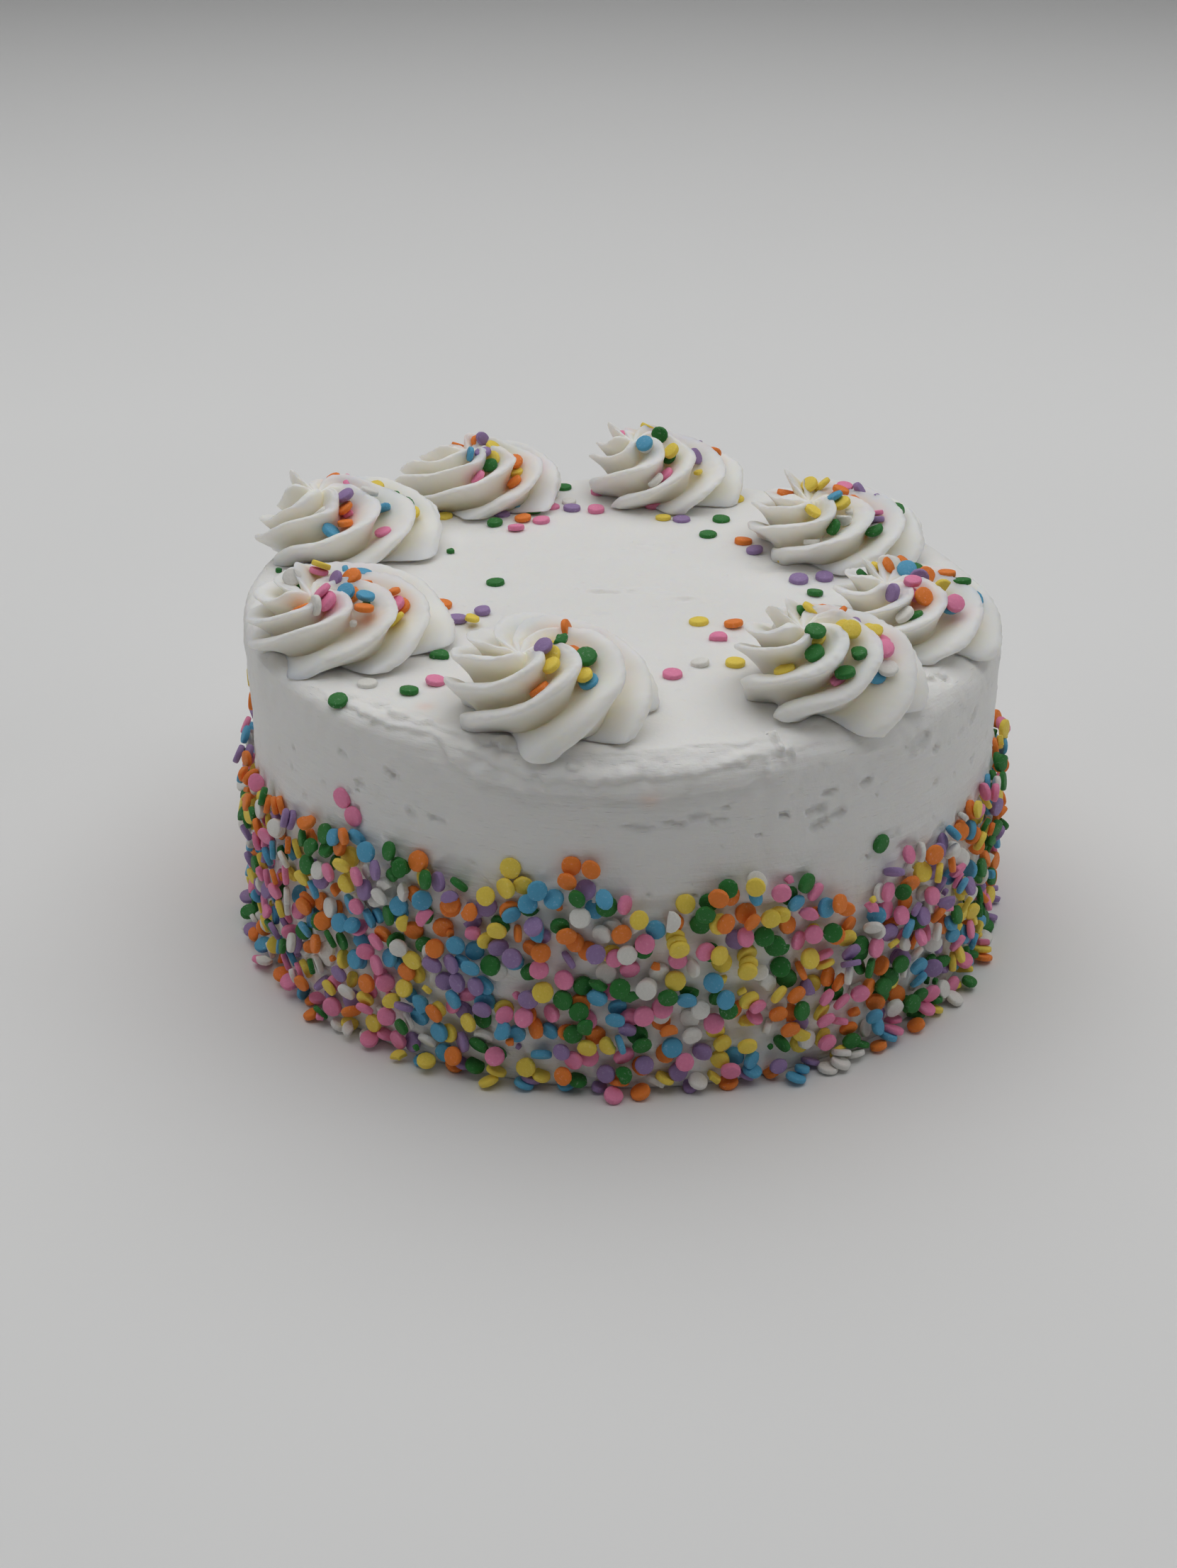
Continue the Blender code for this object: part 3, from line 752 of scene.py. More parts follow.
def pipe_rosette(name, spec, gains, seed):
    """One piped rosette as a closed smooth mesh that reaches a little into the icing below."""
    arms = np.linspace(0, ARMS, ARMS * ARM_SAMPLES, endpoint=False)[None, :]
    share = np.linspace(0, 1, SHARE_ROWS)[:, None] ** 1.05
    arms, share = arms * np.ones_like(share), share * np.ones_like(arms)
    points = swirl(spec, gains, arms, share)
    x, y = rosette_place(spec)
    seat = float(seat_height(x, y))
    turn = 2 * np.pi * arms / ARMS
    strands = np.stack((np.cos(turn), np.sin(turn), 0.30 * share), axis=-1)
    crest = ridge(arms % 1, share)
    height, size = LIP_RAGS
    swell = lumps(Noise(seed + 300), strands, STRAND_SWELL)
    swell = swell + height * crest**5 * Noise(seed + 200)(points, size)
    outward = points - np.array((x, y, seat))
    points = points + outward / np.linalg.norm(outward, axis=-1, keepdims=True) * swell[..., None]
    under = []
    for pull, drop in UNDER_RINGS:
        ring = points[0].copy()
        ring[:, 0] = x + (ring[:, 0] - x) * pull
        ring[:, 1] = y + (ring[:, 1] - y) * pull
        ring[:, 2] -= drop
        under.append(ring)
    # Painted shade: share of the warmer tone, most in the valleys between the arms and none on the rings
    # below
    hollow = (1 - crest) ** 1.5 * smooth(0.0, 0.1, share)
    hollow = np.concatenate((np.zeros((len(under), len(hollow[0]))), hollow))
    points = np.concatenate((np.array(under), points))
    warp = warped(points, Noise(seed), PIPING_WARP)
    points = points + warp + warped(points, Noise(seed + 100), PIPING_JAG)
    crown = points[-1].mean(axis=0) - (0, 0, CROWN_DROP)
    return grid_mesh(name, points[::-1], hollow[::-1], crown, (x, y, seat - BASE_DROP), [1] * len(points))


def disc_outline(draw, kind):
    """Outline of a confetti piece in its own plane: whole, oval, broken or a chip."""
    turn = np.linspace(0, 2 * np.pi, DISC_SIDES, endpoint=False)
    out = np.array([1 + draw.uniform(-0.025, 0.025) for _ in turn])
    if kind == "oval":
        wide = draw.uniform(0.74, 0.88)
        out *= wide / np.sqrt((wide * np.cos(turn)) ** 2 + np.sin(turn) ** 2)
    if kind == "broken":
        cut = draw.uniform(-0.15, 0.6)
        ahead = np.cos(turn)
        ragged = np.array([1 + draw.uniform(-0.10, 0.10) for _ in turn])
        out = np.where(ahead * out > cut, np.maximum(cut / np.maximum(ahead, 0.05), 0.2) * ragged, out)
        out = np.minimum(out, 1.02)
    if kind == "chip":
        sides = draw.choice((4, 5))
        corner = (turn + draw.uniform(0, 1)) % (2 * np.pi / sides) - np.pi / sides
        out = draw.uniform(0.24, 0.46) / np.cos(corner) * (1 + 0.35 * np.cos(turn))
    return np.stack((np.cos(turn) * out, np.sin(turn) * out), axis=-1)


def disc_shape(draw, kind, confetti):
    """Points of one confetti piece with rounded edges, flat to its own Z."""
    outline = disc_outline(draw, kind)
    half = confetti.thickness / 2 * (draw.uniform(0.85, 1.1) if kind != "chip" else 0.8)
    points = [(0, 0, half * 1.03)]
    for scale, level in DISC_RINGS:
        points += [(x * scale, y * scale, half * level) for x, y in outline]
    points = np.array(points + [(0, 0, -half * 1.03)])
    points[:, :2] *= confetti.radius
    return points


def disc_faces():
    """Faces of a confetti piece, the same for every kind."""
    faces = []
    last = DISC_POINTS - 1
    for i in range(DISC_SIDES):
        j = (i + 1) % DISC_SIDES
        faces.append((0, 1 + i, 1 + j))
        for ring in range(len(DISC_RINGS) - 1):
            low, high = 1 + ring * DISC_SIDES, 1 + (ring + 1) * DISC_SIDES
            faces.append((low + i, high + i, high + j, low + j))
        faces.append((last, last - DISC_SIDES + j, last - DISC_SIDES + i))
    return faces


class Scatter:
    """Lays confetti on the iced surfaces so that pieces rest on one another."""

    def __init__(self, confetti, body, rosettes):
        self.radius, self.half = confetti.radius, confetti.thickness / 2
        self.draw = random.Random(SEED + 5)
        graph = bpy.context.evaluated_depsgraph_get()
        self.body = BVHTree.FromObject(body, graph)
        self.rosettes = [BVHTree.FromObject(piece, graph) for piece in rosettes]
        self.placed = []
        self.cells = {}
        turn = np.linspace(0, 2 * np.pi, 12, endpoint=False)
        rim = np.stack((np.cos(turn), np.sin(turn), 0 * turn), axis=-1)
        self.samples = np.vstack((rim, 0.6 * rim[::2], [[0, 0, 0]])) * self.radius

    def cell(self, spot):
        """Key of the small cube of space that holds a spot."""
        return tuple(math.floor(value / CELL) for value in spot)

    def near(self, spot, reach):
        """Confetti whose centre lies within reach of a spot."""
        home = self.cell(spot)
        found = []
        for step in itertools.product((-1, 0, 1), repeat=3):
            for other in self.cells.get(tuple(a + b for a, b in zip(home, step)), ()):
                if np.linalg.norm(other["centre"] - spot) < reach:
                    found.append(other)
        return found

    def lift(self, centre, turn, up, others):
        """How far out a piece has to move to lie over the pieces already there."""
        if not others:
            return 0.0
        normal = turn[:, 2]
        centres = np.array([other["centre"] for other in others])
        normals = np.array([other["turn"][:, 2] for other in others])
        low = centre - self.half * normal
        rel = (low + self.samples @ turn.T)[None] - centres[:, None]
        height = np.einsum("nsk,nk->ns", rel, normals)
        across = (rel**2).sum(axis=-1) - height**2
        slope = np.maximum(normals @ up, LEAST_SLOPE)[:, None]
        reach = (OVERLAP * self.radius) ** 2
        over = np.where(across < reach, (self.half - height) / slope, 0)
        rel = np.array([other["face"] for other in others]) - low
        height = rel @ normal
        across = (rel**2).sum(axis=-1) - height**2
        under = np.where(across < reach, height / max(float(normal @ up), LEAST_SLOPE), 0)
        return max(0.0, float(over.max()), float(under.max()))

    def leaning(self, up, toward, tilt):
        """Orientation of a piece that faces outward and has the side toward a direction raised."""
        side = toward - up * toward.dot(up)
        if side.length < 1e-6:
            side = up.orthogonal()
        lean = Matrix.Rotation(tilt, 3, side.cross(up).normalized())
        spin = Matrix.Rotation(self.draw.uniform(0, math.tau), 3, "Z")
        return np.array(lean @ up.to_track_quat("Z", "Y").to_matrix() @ spin)

    def lay(self, spot, up, tilts, most, sink, colour=None, shares=USUAL):
        """Lays one piece where it clears its neighbours, or leaves it out where it can't."""
        draw = self.draw
        rise = np.array(up)
        others = self.near(np.array(spot), NEIGHBOUR * self.radius)
        best = None
        for number, tilt in enumerate(tilts):
            toward = Vector((draw.uniform(-1, 1), draw.uniform(-1, 1), draw.uniform(-1, 1)))
            if others and number != 1:
                close = min(others, key=lambda other: np.linalg.norm(other["centre"] - np.array(spot)))
                toward = Vector(close["centre"]) - spot
            turn = self.leaning(up, toward, tilt)
            stand = self.radius * math.sin(tilt) + self.half * math.cos(tilt) - sink
            centre = np.array(spot) + rise * stand
            lift = self.lift(centre, turn, rise, others)
            if best is None or lift < best[0]:
                best = (lift, centre + rise * lift, turn)
        if best[0] > most:
            return None
        if colour is None:
            near = [other["colour"] for other in others]
            follow = near and draw.random() < SAME_COLOUR
            colour = draw.choice(near) if follow else draw.choices(COLOURS, SHARES)[0]
        entry = {
            "spot": spot.copy(),
            "centre": best[1],
            "turn": best[2],
            "face": best[1] + self.half * best[2][:, 2] + self.samples @ best[2].T,
            "colour": colour,
            "kind": draw.choices(KINDS, shares)[0],
            "size": draw.uniform(0.93, 1.06),
            "bleed": draw.random(),
        }
        self.placed.append(entry)
        self.cells.setdefault(self.cell(best[1]), []).append(entry)
        return entry

    def buried(self, tree):
        """Share of the newest piece that lies under a surface."""
        under = 0
        for sample in self.placed[-1]["face"]:
            spot, normal, _, _ = tree.find_nearest(Vector(sample))
            under += (Vector(sample) - spot).dot(normal) < -0.0002
        return under / len(self.samples)

    def take_back(self):
        """Leaves out the newest piece after all."""
        entry = self.placed.pop()
        self.cells[self.cell(entry["centre"])].pop()


def wall_spot(scatter, angle, height):
    """Place on the iced wall and the way it faces, smoothed a little."""
    outward = Vector((math.cos(angle), math.sin(angle), 0))
    start = outward * 0.16 + Vector((0, 0, height))
    spot, normal, _, _ = scatter.body.ray_cast(start, -outward)
    return spot, (normal + outward * 1.2).normalized()


def scatter_wall(scatter, count):
    """Confetti pressed on the lower wall, thick at the sides and thinner low at the front."""
    draw = scatter.draw
    for degrees, height, colour in WALL_STRAYS:
        spot, up = wall_spot(scatter, math.radians(degrees), height)
        scatter.lay(spot, up, (0.1,), 0.002, 0.0006, colour)
    for _ in range(WALL_TRIES):
        if count <= 0:
            break
        angle = draw.uniform(-math.pi, math.pi)
        edge = float(along(BAND_EDGE, angle))
        height = 0.0025 + (edge - 0.0045) * draw.random()
        front = 1 - float(smooth(math.radians(16), SPARSE_HALF, away(angle, SPARSE_CENTRE)))
        thin = 0.60 * front * (1 - float(smooth(0.012, 0.030, height)))
        fade = 0.72 * float(smooth(edge - 0.009, edge - 0.001, height))
        if draw.random() < max(thin, fade):
            continue
        spot, up = wall_spot(scatter, angle, height)
        tilts = [draw.uniform(0.28, 0.48), draw.uniform(0.02, 0.22)]
        if draw.random() < 0.16:
            tilts = [draw.uniform(0.5, 1.3)]
        entry = scatter.lay(spot, up, tilts, 0.0038 * draw.random() ** 0.5, draw.uniform(0.0003, 0.0010))
        if entry:
            entry["centre"][2] = max(entry["centre"][2], LEAST_HEIGHT)
            count -= 1


def scatter_foot(scatter, count):
    """Confetti that slid down and rests against the foot of the cake."""
    draw = scatter.draw
    foot = bpy.context.scene.cake_icing.foot_radius
    for step in range(count):
        angle = math.tau * (step + draw.uniform(-0.45, 0.45)) / count
        reach = foot + 0.0010 + 0.0060 * draw.random() ** 1.2
        spot = Vector((math.cos(angle) * reach, math.sin(angle) * reach, 0))
        tilts = (draw.uniform(0.25, 0.5), draw.uniform(0.0, 0.2))
        scatter.lay(spot, Vector((0, 0, 1)), tilts, 0.0030, 0.0)


def scatter_top(scatter):
    """Strays on the flat top, where the eye finds them."""
    for colour, places in TOP_CONFETTI.items():
        for x, y in places:
            start = Vector((x / 1000, y / 1000, 0.15))
            spot, normal, _, _ = scatter.body.ray_cast(start, Vector((0, 0, -1)))
            tilts = (scatter.draw.uniform(0.0, 0.2), 0.3)
            sink = scatter.draw.uniform(0.0002, 0.0008)
            scatter.lay(spot, normal, tilts, 0.004, sink, colour, STRAY)


def scatter_chips(scatter):
    """Broken bits on the flat top."""
    for colour, x, y in TOP_CHIPS:
        spot, normal, _, _ = scatter.body.ray_cast(Vector((x / 1000, y / 1000, 0.15)), Vector((0, 0, -1)))
        scatter.lay(spot, normal, (0.1, 0.3), 0.004, 0.0006, colour, CHIP)


def specks(scatter):
    """Faint specks of dye with no confetti on them."""
    found = []
    for x, y, z in SPECKS:
        spot, _, _, _ = scatter.body.find_nearest(Vector((x / 1000, y / 1000, z / 1000)))
        found.append({"spot": spot, "colour": "orange", "bleed": 1.0})
    return found


def scatter_rosettes(scatter, gains):
    """Confetti caught between the arms, mostly on the side away from each peak."""
    draw = scatter.draw
    for spec, gain, tree, left in zip(ROSETTES, gains, scatter.rosettes, ROSETTE_CONFETTI):
        for _ in range(ROSETTE_TRIES):
            if left <= 0:
                break
            share = 0.34 + 0.56 * draw.random() ** 0.75
            facing = math.radians(draw.gauss(-8 + 50 * share**2, 50))
            arms = (facing - ARM_TURN * share) / math.tau * ARMS - spec.degrees * TURN_SHARE % 1
            arms = math.floor(arms) + draw.uniform(0.26, 0.66)
            guess = swirl(spec, gain, np.array([[arms % ARMS]]), np.array([[share]]))[0, 0]
            spot, normal, _, _ = tree.find_nearest(Vector(guess))
            if spot is None or normal.z < 0.1:
                continue
            up = (normal + Vector((0, 0, 0.5))).normalized()
            tilts = [draw.uniform(0.05, 0.5), draw.uniform(0.2, 0.6)]
            if draw.random() < 0.35:
                tilts = [draw.uniform(0.6, 1.35)]
            entry = scatter.lay(spot, up, tilts, 0.003, draw.uniform(0.0003, 0.0009))
            if not entry:
                continue
            if scatter.buried(tree) > 0.25 or entry["face"][:, 2].max() > CAD_BOX[1][2] + CROWN_ROOM:
                scatter.take_back()
            else:
                left -= 1


def confetti_mesh(name, entries, confetti, seed):
    """All the confetti of one colour as one mesh."""
    draw = random.Random(seed)
    faces = np.array([face + (-1,) * (4 - len(face)) for face in disc_faces()])
    spots, all_faces = [], []
    for number, entry in enumerate(entries):
        points = disc_shape(draw, entry["kind"], confetti) * entry["size"]
        spots.append(points @ entry["turn"].T + entry["centre"])
        moved = np.where(faces < 0, -1, faces + number * DISC_POINTS)
        all_faces += [tuple(v for v in face if v >= 0) for face in moved.tolist()]
    points = np.vstack(spots)
    points[:, 2] = np.maximum(points[:, 2], 0.0001)
    return smooth_mesh(name, points, all_faces)


def stain_and_paint_tone(piece, entries, tone, strength, reach, most):
    """Writes the painted light and shade tone of the marked icing and how much dye has run into it from the
    confetti.
    """
    mesh = piece.data
    count = len(mesh.vertices)
    tree = KDTree(count)
    for vertex in mesh.vertices:
        tree.insert(vertex.co, vertex.index)
    tree.balance()
    amount, tint = np.zeros(count), np.zeros((count, 3))
    for entry in entries:
        colour = bpy.context.scene.cake_confetti.get_colour(entry["colour"])
        power = strength * DYE[entry["colour"]] * (0.25 + 1.5 * entry["bleed"] ** 3)
        for _, index, distance in tree.find_range(entry["spot"], reach):
            weight = power * math.exp(-((distance / (reach * 0.5)) ** 2))
            amount[index] += weight
            tint[index] += weight * np.array(colour[:3])
    tint /= np.maximum(amount, 1e-6)[:, None]
    amount = np.minimum(amount, most)
    # The tone is painted light and shade, laid where the mesh has its painted share and less where dye lies
    marked = np.zeros(count, np.float32)
    mesh.attributes["marked"].data.foreach_get("value", marked)
    marked *= tone[3] * (1 - amount)
    tint = (tint * amount[:, None] + marked[:, None] * tone[:3]) / np.maximum(amount + marked, 1e-6)[:, None]
    dye = mesh.attributes.new("dye", "FLOAT_COLOR", "POINT")
    values = np.concatenate((tint, (amount + marked)[:, None]), axis=1)
    dye.data.foreach_set("color", values.astype(np.float32).ravel())


def new_group(name, inputs, outputs):
    """An empty shader node group with the named number and colour sockets."""
    group = bpy.data.node_groups.new(name, "ShaderNodeTree")
    for label, kind, value in inputs:
        socket = group.interface.new_socket(label, in_out="INPUT", socket_type=kind)
        socket.default_value = value
    for label, kind in outputs:
        group.interface.new_socket(label, in_out="OUTPUT", socket_type=kind)
    return group, group.nodes.new("NodeGroupInput"), group.nodes.new("NodeGroupOutput")


def node(tree, kind, links=None, **settings):
    """A new node with its settings made and its inputs linked or filled."""
    made = tree.nodes.new(kind)
    for name, value in settings.items():
        setattr(made, name, value)
    for key, value in (links or {}).items():
        if isinstance(value, bpy.types.NodeSocket):
            tree.links.new(value, made.inputs[key])
        else:
            made.inputs[key].default_value = value
    return made


def noise_texture(tree, place, scale, detail, roughness=0.5):
    """Soft noise over space."""
    links = {"Vector": place, "Scale": scale, "Detail": detail, "Roughness": roughness}
    return node(tree, "ShaderNodeTexNoise", links).outputs["Fac"]


def ranged(tree, value, low, high, least=0.0, most=1.0, kind="LINEAR"):
    """A value taken from one range to another."""
    links = {"Value": value, "From Min": low, "From Max": high, "To Min": least, "To Max": most}
    return node(tree, "ShaderNodeMapRange", links, interpolation_type=kind).outputs["Result"]


def multiplied(tree, first, second):
    """One value times another."""
    return node(tree, "ShaderNodeMath", {0: first, 1: second}, operation="MULTIPLY").outputs[0]


def topped_up(tree, value, share, rest):
    """A share of one value added to another."""
    return node(tree, "ShaderNodeMath", {0: value, 1: share, 2: rest}, operation="MULTIPLY_ADD").outputs[0]


def mixed(tree, share, first, second):
    """A colour between two others."""
    return node(tree, "ShaderNodeMix", {0: share, 6: first, 7: second}, data_type="RGBA").outputs[2]


def bumped(tree, strength, distance, height):
    """Normals of a face with fine relief."""
    links = {"Strength": strength, "Distance": distance, "Height": height}
    return node(tree, "ShaderNodeBump", links).outputs["Normal"]


def buttercream_group():
    """Fine grain of whipped icing: small air holes, a soft mottle and fine spatula drag."""
    group, inside, outside = new_group(
        "buttercream",
        (("Grain", "NodeSocketFloat", 900.0), ("Drag", "NodeSocketFloat", 1.0)),
        (("Mottle", "NodeSocketFloat"), ("Height", "NodeSocketFloat")),
    )
    place = node(group, "ShaderNodeTexCoord").outputs["Object"]
    drag = node(group, "ShaderNodeMapping", {"Vector": place, "Scale": (1.0, 1.0, 9.0)}).outputs["Vector"]
    mottle = noise_texture(group, place, 55.0, 3.0, 0.6)
    fine = noise_texture(group, place, inside.outputs["Grain"], 2.0, 0.55)
    streak = noise_texture(group, drag, 60.0, 4.0, 0.65)
    links = {"Vector": drag, "Scale": 150.0, "Randomness": 1.0}
    holes = node(group, "ShaderNodeTexVoronoi", links).outputs["Distance"]
    hole = ranged(group, holes, 0.05, 0.17, kind="SMOOTHSTEP")
    dragged = multiplied(group, streak, inside.outputs["Drag"])
    holed = multiplied(group, hole, inside.outputs["Drag"])
    height = topped_up(group, holed, 0.35, topped_up(group, fine, 0.25, dragged))
    group.links.new(mottle, outside.inputs["Mottle"])
    group.links.new(height, outside.inputs["Height"])
    return group


def sugar_group():
    """Pressed sugar: pale flecks and a slightly pitted face."""
    group, inside, outside = new_group(
        "pressed_sugar",
        (("Grain", "NodeSocketFloat", 1200.0),),
        (("Fleck", "NodeSocketFloat"), ("Height", "NodeSocketFloat")),
    )
    place = node(group, "ShaderNodeTexCoord").outputs["Object"]
    grain = noise_texture(group, place, inside.outputs["Grain"], 3.0, 0.6)
    cloud = noise_texture(group, place, 260.0, 2.0)
    fleck = multiplied(group, ranged(group, grain, 0.60, 0.74), cloud)
    group.links.new(fleck, outside.inputs["Fleck"])
    group.links.new(grain, outside.inputs["Height"])
    return group


def find_group(name, make):
    """The node group of this name, made the first time it is asked for."""
    return bpy.data.node_groups.get(name) or make()


def start_material(name):
    """A new material, its node tree and its Principled shader."""
    material = bpy.data.materials.new(name)
    material.use_nodes = True
    tree = material.node_tree
    return material, tree, tree.nodes["Principled BSDF"]


def place_group(tree, group, **values):
    """A node group placed in a material with its own values."""
    made = node(tree, "ShaderNodeGroup")
    made.node_tree = group
    for name, value in values.items():
        made.inputs[name].default_value = value
    return made


def glow(shader, weight, colours, depth, shine):
    """Light that sinks into a surface, and the strength of its shine."""
    shader.inputs["Subsurface Weight"].default_value = weight
    shader.inputs["Subsurface Radius"].default_value = colours
    shader.inputs["Subsurface Scale"].default_value = depth
    shader.inputs["Specular IOR Level"].default_value = shine


def toned(colour, share, white=0.0):
    """A colour made darker, or paler with some white."""
    return [value * share + white for value in colour[:3]] + [1.0]


def icing_material(name, settings, finish):
    """White icing: soft, slightly translucent, stained where dye has run, with painted light and shade in the
    same colour attribute.
    """
    grain, drag, bump, weight, depth = finish
    group = find_group("buttercream", buttercream_group)
    material, tree, shader = start_material(name)
    grained = place_group(tree, group, Grain=grain, Drag=drag)
    mottle = grained.outputs["Mottle"]
    tone = mixed(tree, mottle, settings.cream, settings.shade)
    dye = node(tree, "ShaderNodeAttribute", attribute_name="dye")
    stained_and_painted = mixed(tree, dye.outputs["Alpha"], tone, dye.outputs["Color"])
    tree.links.new(stained_and_painted, shader.inputs["Base Color"])
    tree.links.new(ranged(tree, mottle, 0.0, 1.0, 0.46, 0.62), shader.inputs["Roughness"])
    tree.links.new(bumped(tree, bump, 0.0006, grained.outputs["Height"]), shader.inputs["Normal"])
    glow(shader, weight, (1.0, 0.78, 0.5), depth, 0.35)
    return material


def sugar_material(name, colour):
    """Coloured pressed sugar with pale flecks."""
    material, tree, shader = start_material(name)
    sugar = place_group(tree, find_group("pressed_sugar", sugar_group), Grain=1300.0)
    # Colour a little darker where the grain of the bump is low
    darker_on_low_grain = mixed(tree, sugar.outputs["Height"], toned(colour, 0.82), tuple(colour))
    tone = mixed(tree, sugar.outputs["Fleck"], darker_on_low_grain, toned(colour, 0.6, 0.4 * 0.9))
    tree.links.new(tone, shader.inputs["Base Color"])
    tree.links.new(bumped(tree, 0.5, 0.0003, sugar.outputs["Height"]), shader.inputs["Normal"])
    shader.inputs["Roughness"].default_value = 0.55
    glow(shader, 0.12, (1.0, 0.8, 0.7), 0.0012, 0.3)
    return material


def paper_material(tone):
    """Matte paper of the seamless backdrop, with a faint cloudy grain and painted shade that turns it darker
    far behind.
    """
    material, tree, shader = start_material("backdrop_paper")
    place = node(tree, "ShaderNodeTexCoord").outputs["Object"]
    clouded = mixed(tree, noise_texture(tree, place, 3.0, 2.0), tuple(tone), toned(tone, 0.96))
    # Painted shade: the paper darkens towards the back
    behind = node(tree, "ShaderNodeSeparateXYZ", {0: place}).outputs["Y"]
    paper = mixed(tree, ranged(tree, behind, 0.5, 2.4), clouded, toned(tone, 0.78))
    tree.links.new(paper, shader.inputs["Base Color"])
    shader.inputs["Roughness"].default_value = 0.9
    return material


def size_property(name, description, default, low, high):
    """A length in metres that a user may change."""
    return FloatProperty(
        name=name,
        description=description,
        default=default,
        min=low,
        max=high,
        precision=5,
        unit="LENGTH",
    )


def colour_property(name, description, default):
    """A colour that a user may change."""
    return FloatVectorProperty(
        name=name,
        description=description,
        default=default,
        size=4,
        min=0.0,
        max=1.0,
        subtype="COLOR",
    )


class CakeIcing(bpy.types.PropertyGroup):
    """Sizes and colours of the iced body."""

    radius: size_property("Radius", "Radius of the iced wall at the rim", 0.114, 0.05, 0.3)
    foot_radius: size_property("Foot radius", "Radius of the iced wall at the foot", 0.1125, 0.05, 0.3)
    height: size_property("Height", "Height of the iced top at its centre", 0.1045, 0.03, 0.3)
    folds: FloatProperty(name="Folds", description="Strength of the rim's folds", default=1.0, min=0)
    pit_depth: size_property("Pit depth", "Depth of the largest air pits", 0.0010, 0.0, 0.003)
    pits: IntProperty(name="Pits", description="Number of small air pits", default=170, min=0)
    cream: colour_property("Icing", "Colour of the icing", (0.868, 0.864, 0.848, 1.0))
    shade: colour_property("Icing shade", "Darker mottle of the icing", (0.822, 0.815, 0.790, 1.0))


class CakePiping(bpy.types.PropertyGroup):
    """Sizes and colours of the piped rosettes."""

    crest: size_property("Crest", "Height of a piped arm over its valley", 0.0067, 0.001, 0.012)
    overhang: size_property("Overhang", "How far the crests curl over", 0.0010, 0.0, 0.004)
    curl: size_property("Curl", "How far the blunt ends curl in under", 0.0022, 0.0, 0.006)
    tip: size_property("Tip", "How far the arms' ends reach out at the base", 0.0026, 0.0, 0.006)
    cream: colour_property("Piping", "Colour of the piped icing", (0.925, 0.908, 0.868, 1.0))
    shade: colour_property("Piping shade", "Darker mottle of the piping", (0.905, 0.880, 0.826, 1.0))


class CakeConfetti(bpy.types.PropertyGroup):
    """Sizes, numbers and colours of the confetti sprinkles."""

    radius: size_property("Radius", "Radius of a confetti disc", 0.00285, 0.001, 0.006)
    thickness: size_property("Thickness", "Thickness of a confetti disc", 0.0017, 0.0005, 0.004)
    wall_count: IntProperty(name="On the wall", description="Discs on the wall", default=2650, min=0)
    foot_count: IntProperty(name="At the foot", description="Discs at the foot", default=230, min=0)
    pink: colour_property("Pink", "Pink confetti", (0.95, 0.285, 0.485, 1.0))
    purple: colour_property("Purple", "Purple confetti", (0.36, 0.24, 0.48, 1.0))
    orange: colour_property("Orange", "Orange confetti", (0.98, 0.265, 0.040, 1.0))
    yellow: colour_property("Yellow", "Yellow confetti", (0.98, 0.75, 0.105, 1.0))
    green: colour_property("Green", "Green confetti", (0.028, 0.210, 0.037, 1.0))
    blue: colour_property("Blue", "Blue confetti", (0.110, 0.43, 0.67, 1.0))
    white: colour_property("White", "White confetti", (0.88, 0.87, 0.82, 1.0))

    def get_colour(self, name):
        """The colour with this name."""
        return getattr(self, name)


class CakeStage(bpy.types.PropertyGroup):
    """Backdrop and light."""

    paper: colour_property("Backdrop", "Colour of the backdrop", (0.825, 0.825, 0.818, 1.0))
    key: FloatProperty(name="Overhead light", description="Power overhead", default=36.0, unit="POWER")
    sides: FloatProperty(name="Side lights", description="Power each side", default=2.35, unit="POWER")
    sky: FloatProperty(name="Sky", description="Strength of the even light", default=0.067, min=0)


class CAKE_OT_ice_body(bpy.types.Operator):
    """Ice the body of the cake"""

    bl_idname = "cake.ice_body"
    bl_label = "Ice the body"

    def execute(self, context):
        icing = context.scene.cake_icing
        material = icing_material("icing", icing, BODY_FINISH)
        add_piece("iced_body", ice_body(icing), material, "icing", "cake")
        return {"FINISHED"}


class CAKE_OT_pipe_rosettes(bpy.types.Operator):
    """Pipe the rosettes round the top"""

    bl_idname = "cake.pipe_rosettes"
    bl_label = "Pipe the rosettes"

    def execute(self, context):
        material = icing_material("piped_icing", context.scene.cake_piping, PIPING_FINISH)
        for number, (spec, gains) in enumerate(zip(ROSETTES, rosette_gains()), start=1):
            name = f"piped_rosette_{number}"
            mesh = pipe_rosette(name, spec, gains, SEED + number)
            add_piece(name, mesh, material, "piped_icing", f"rosette_{number}")
        return {"FINISHED"}


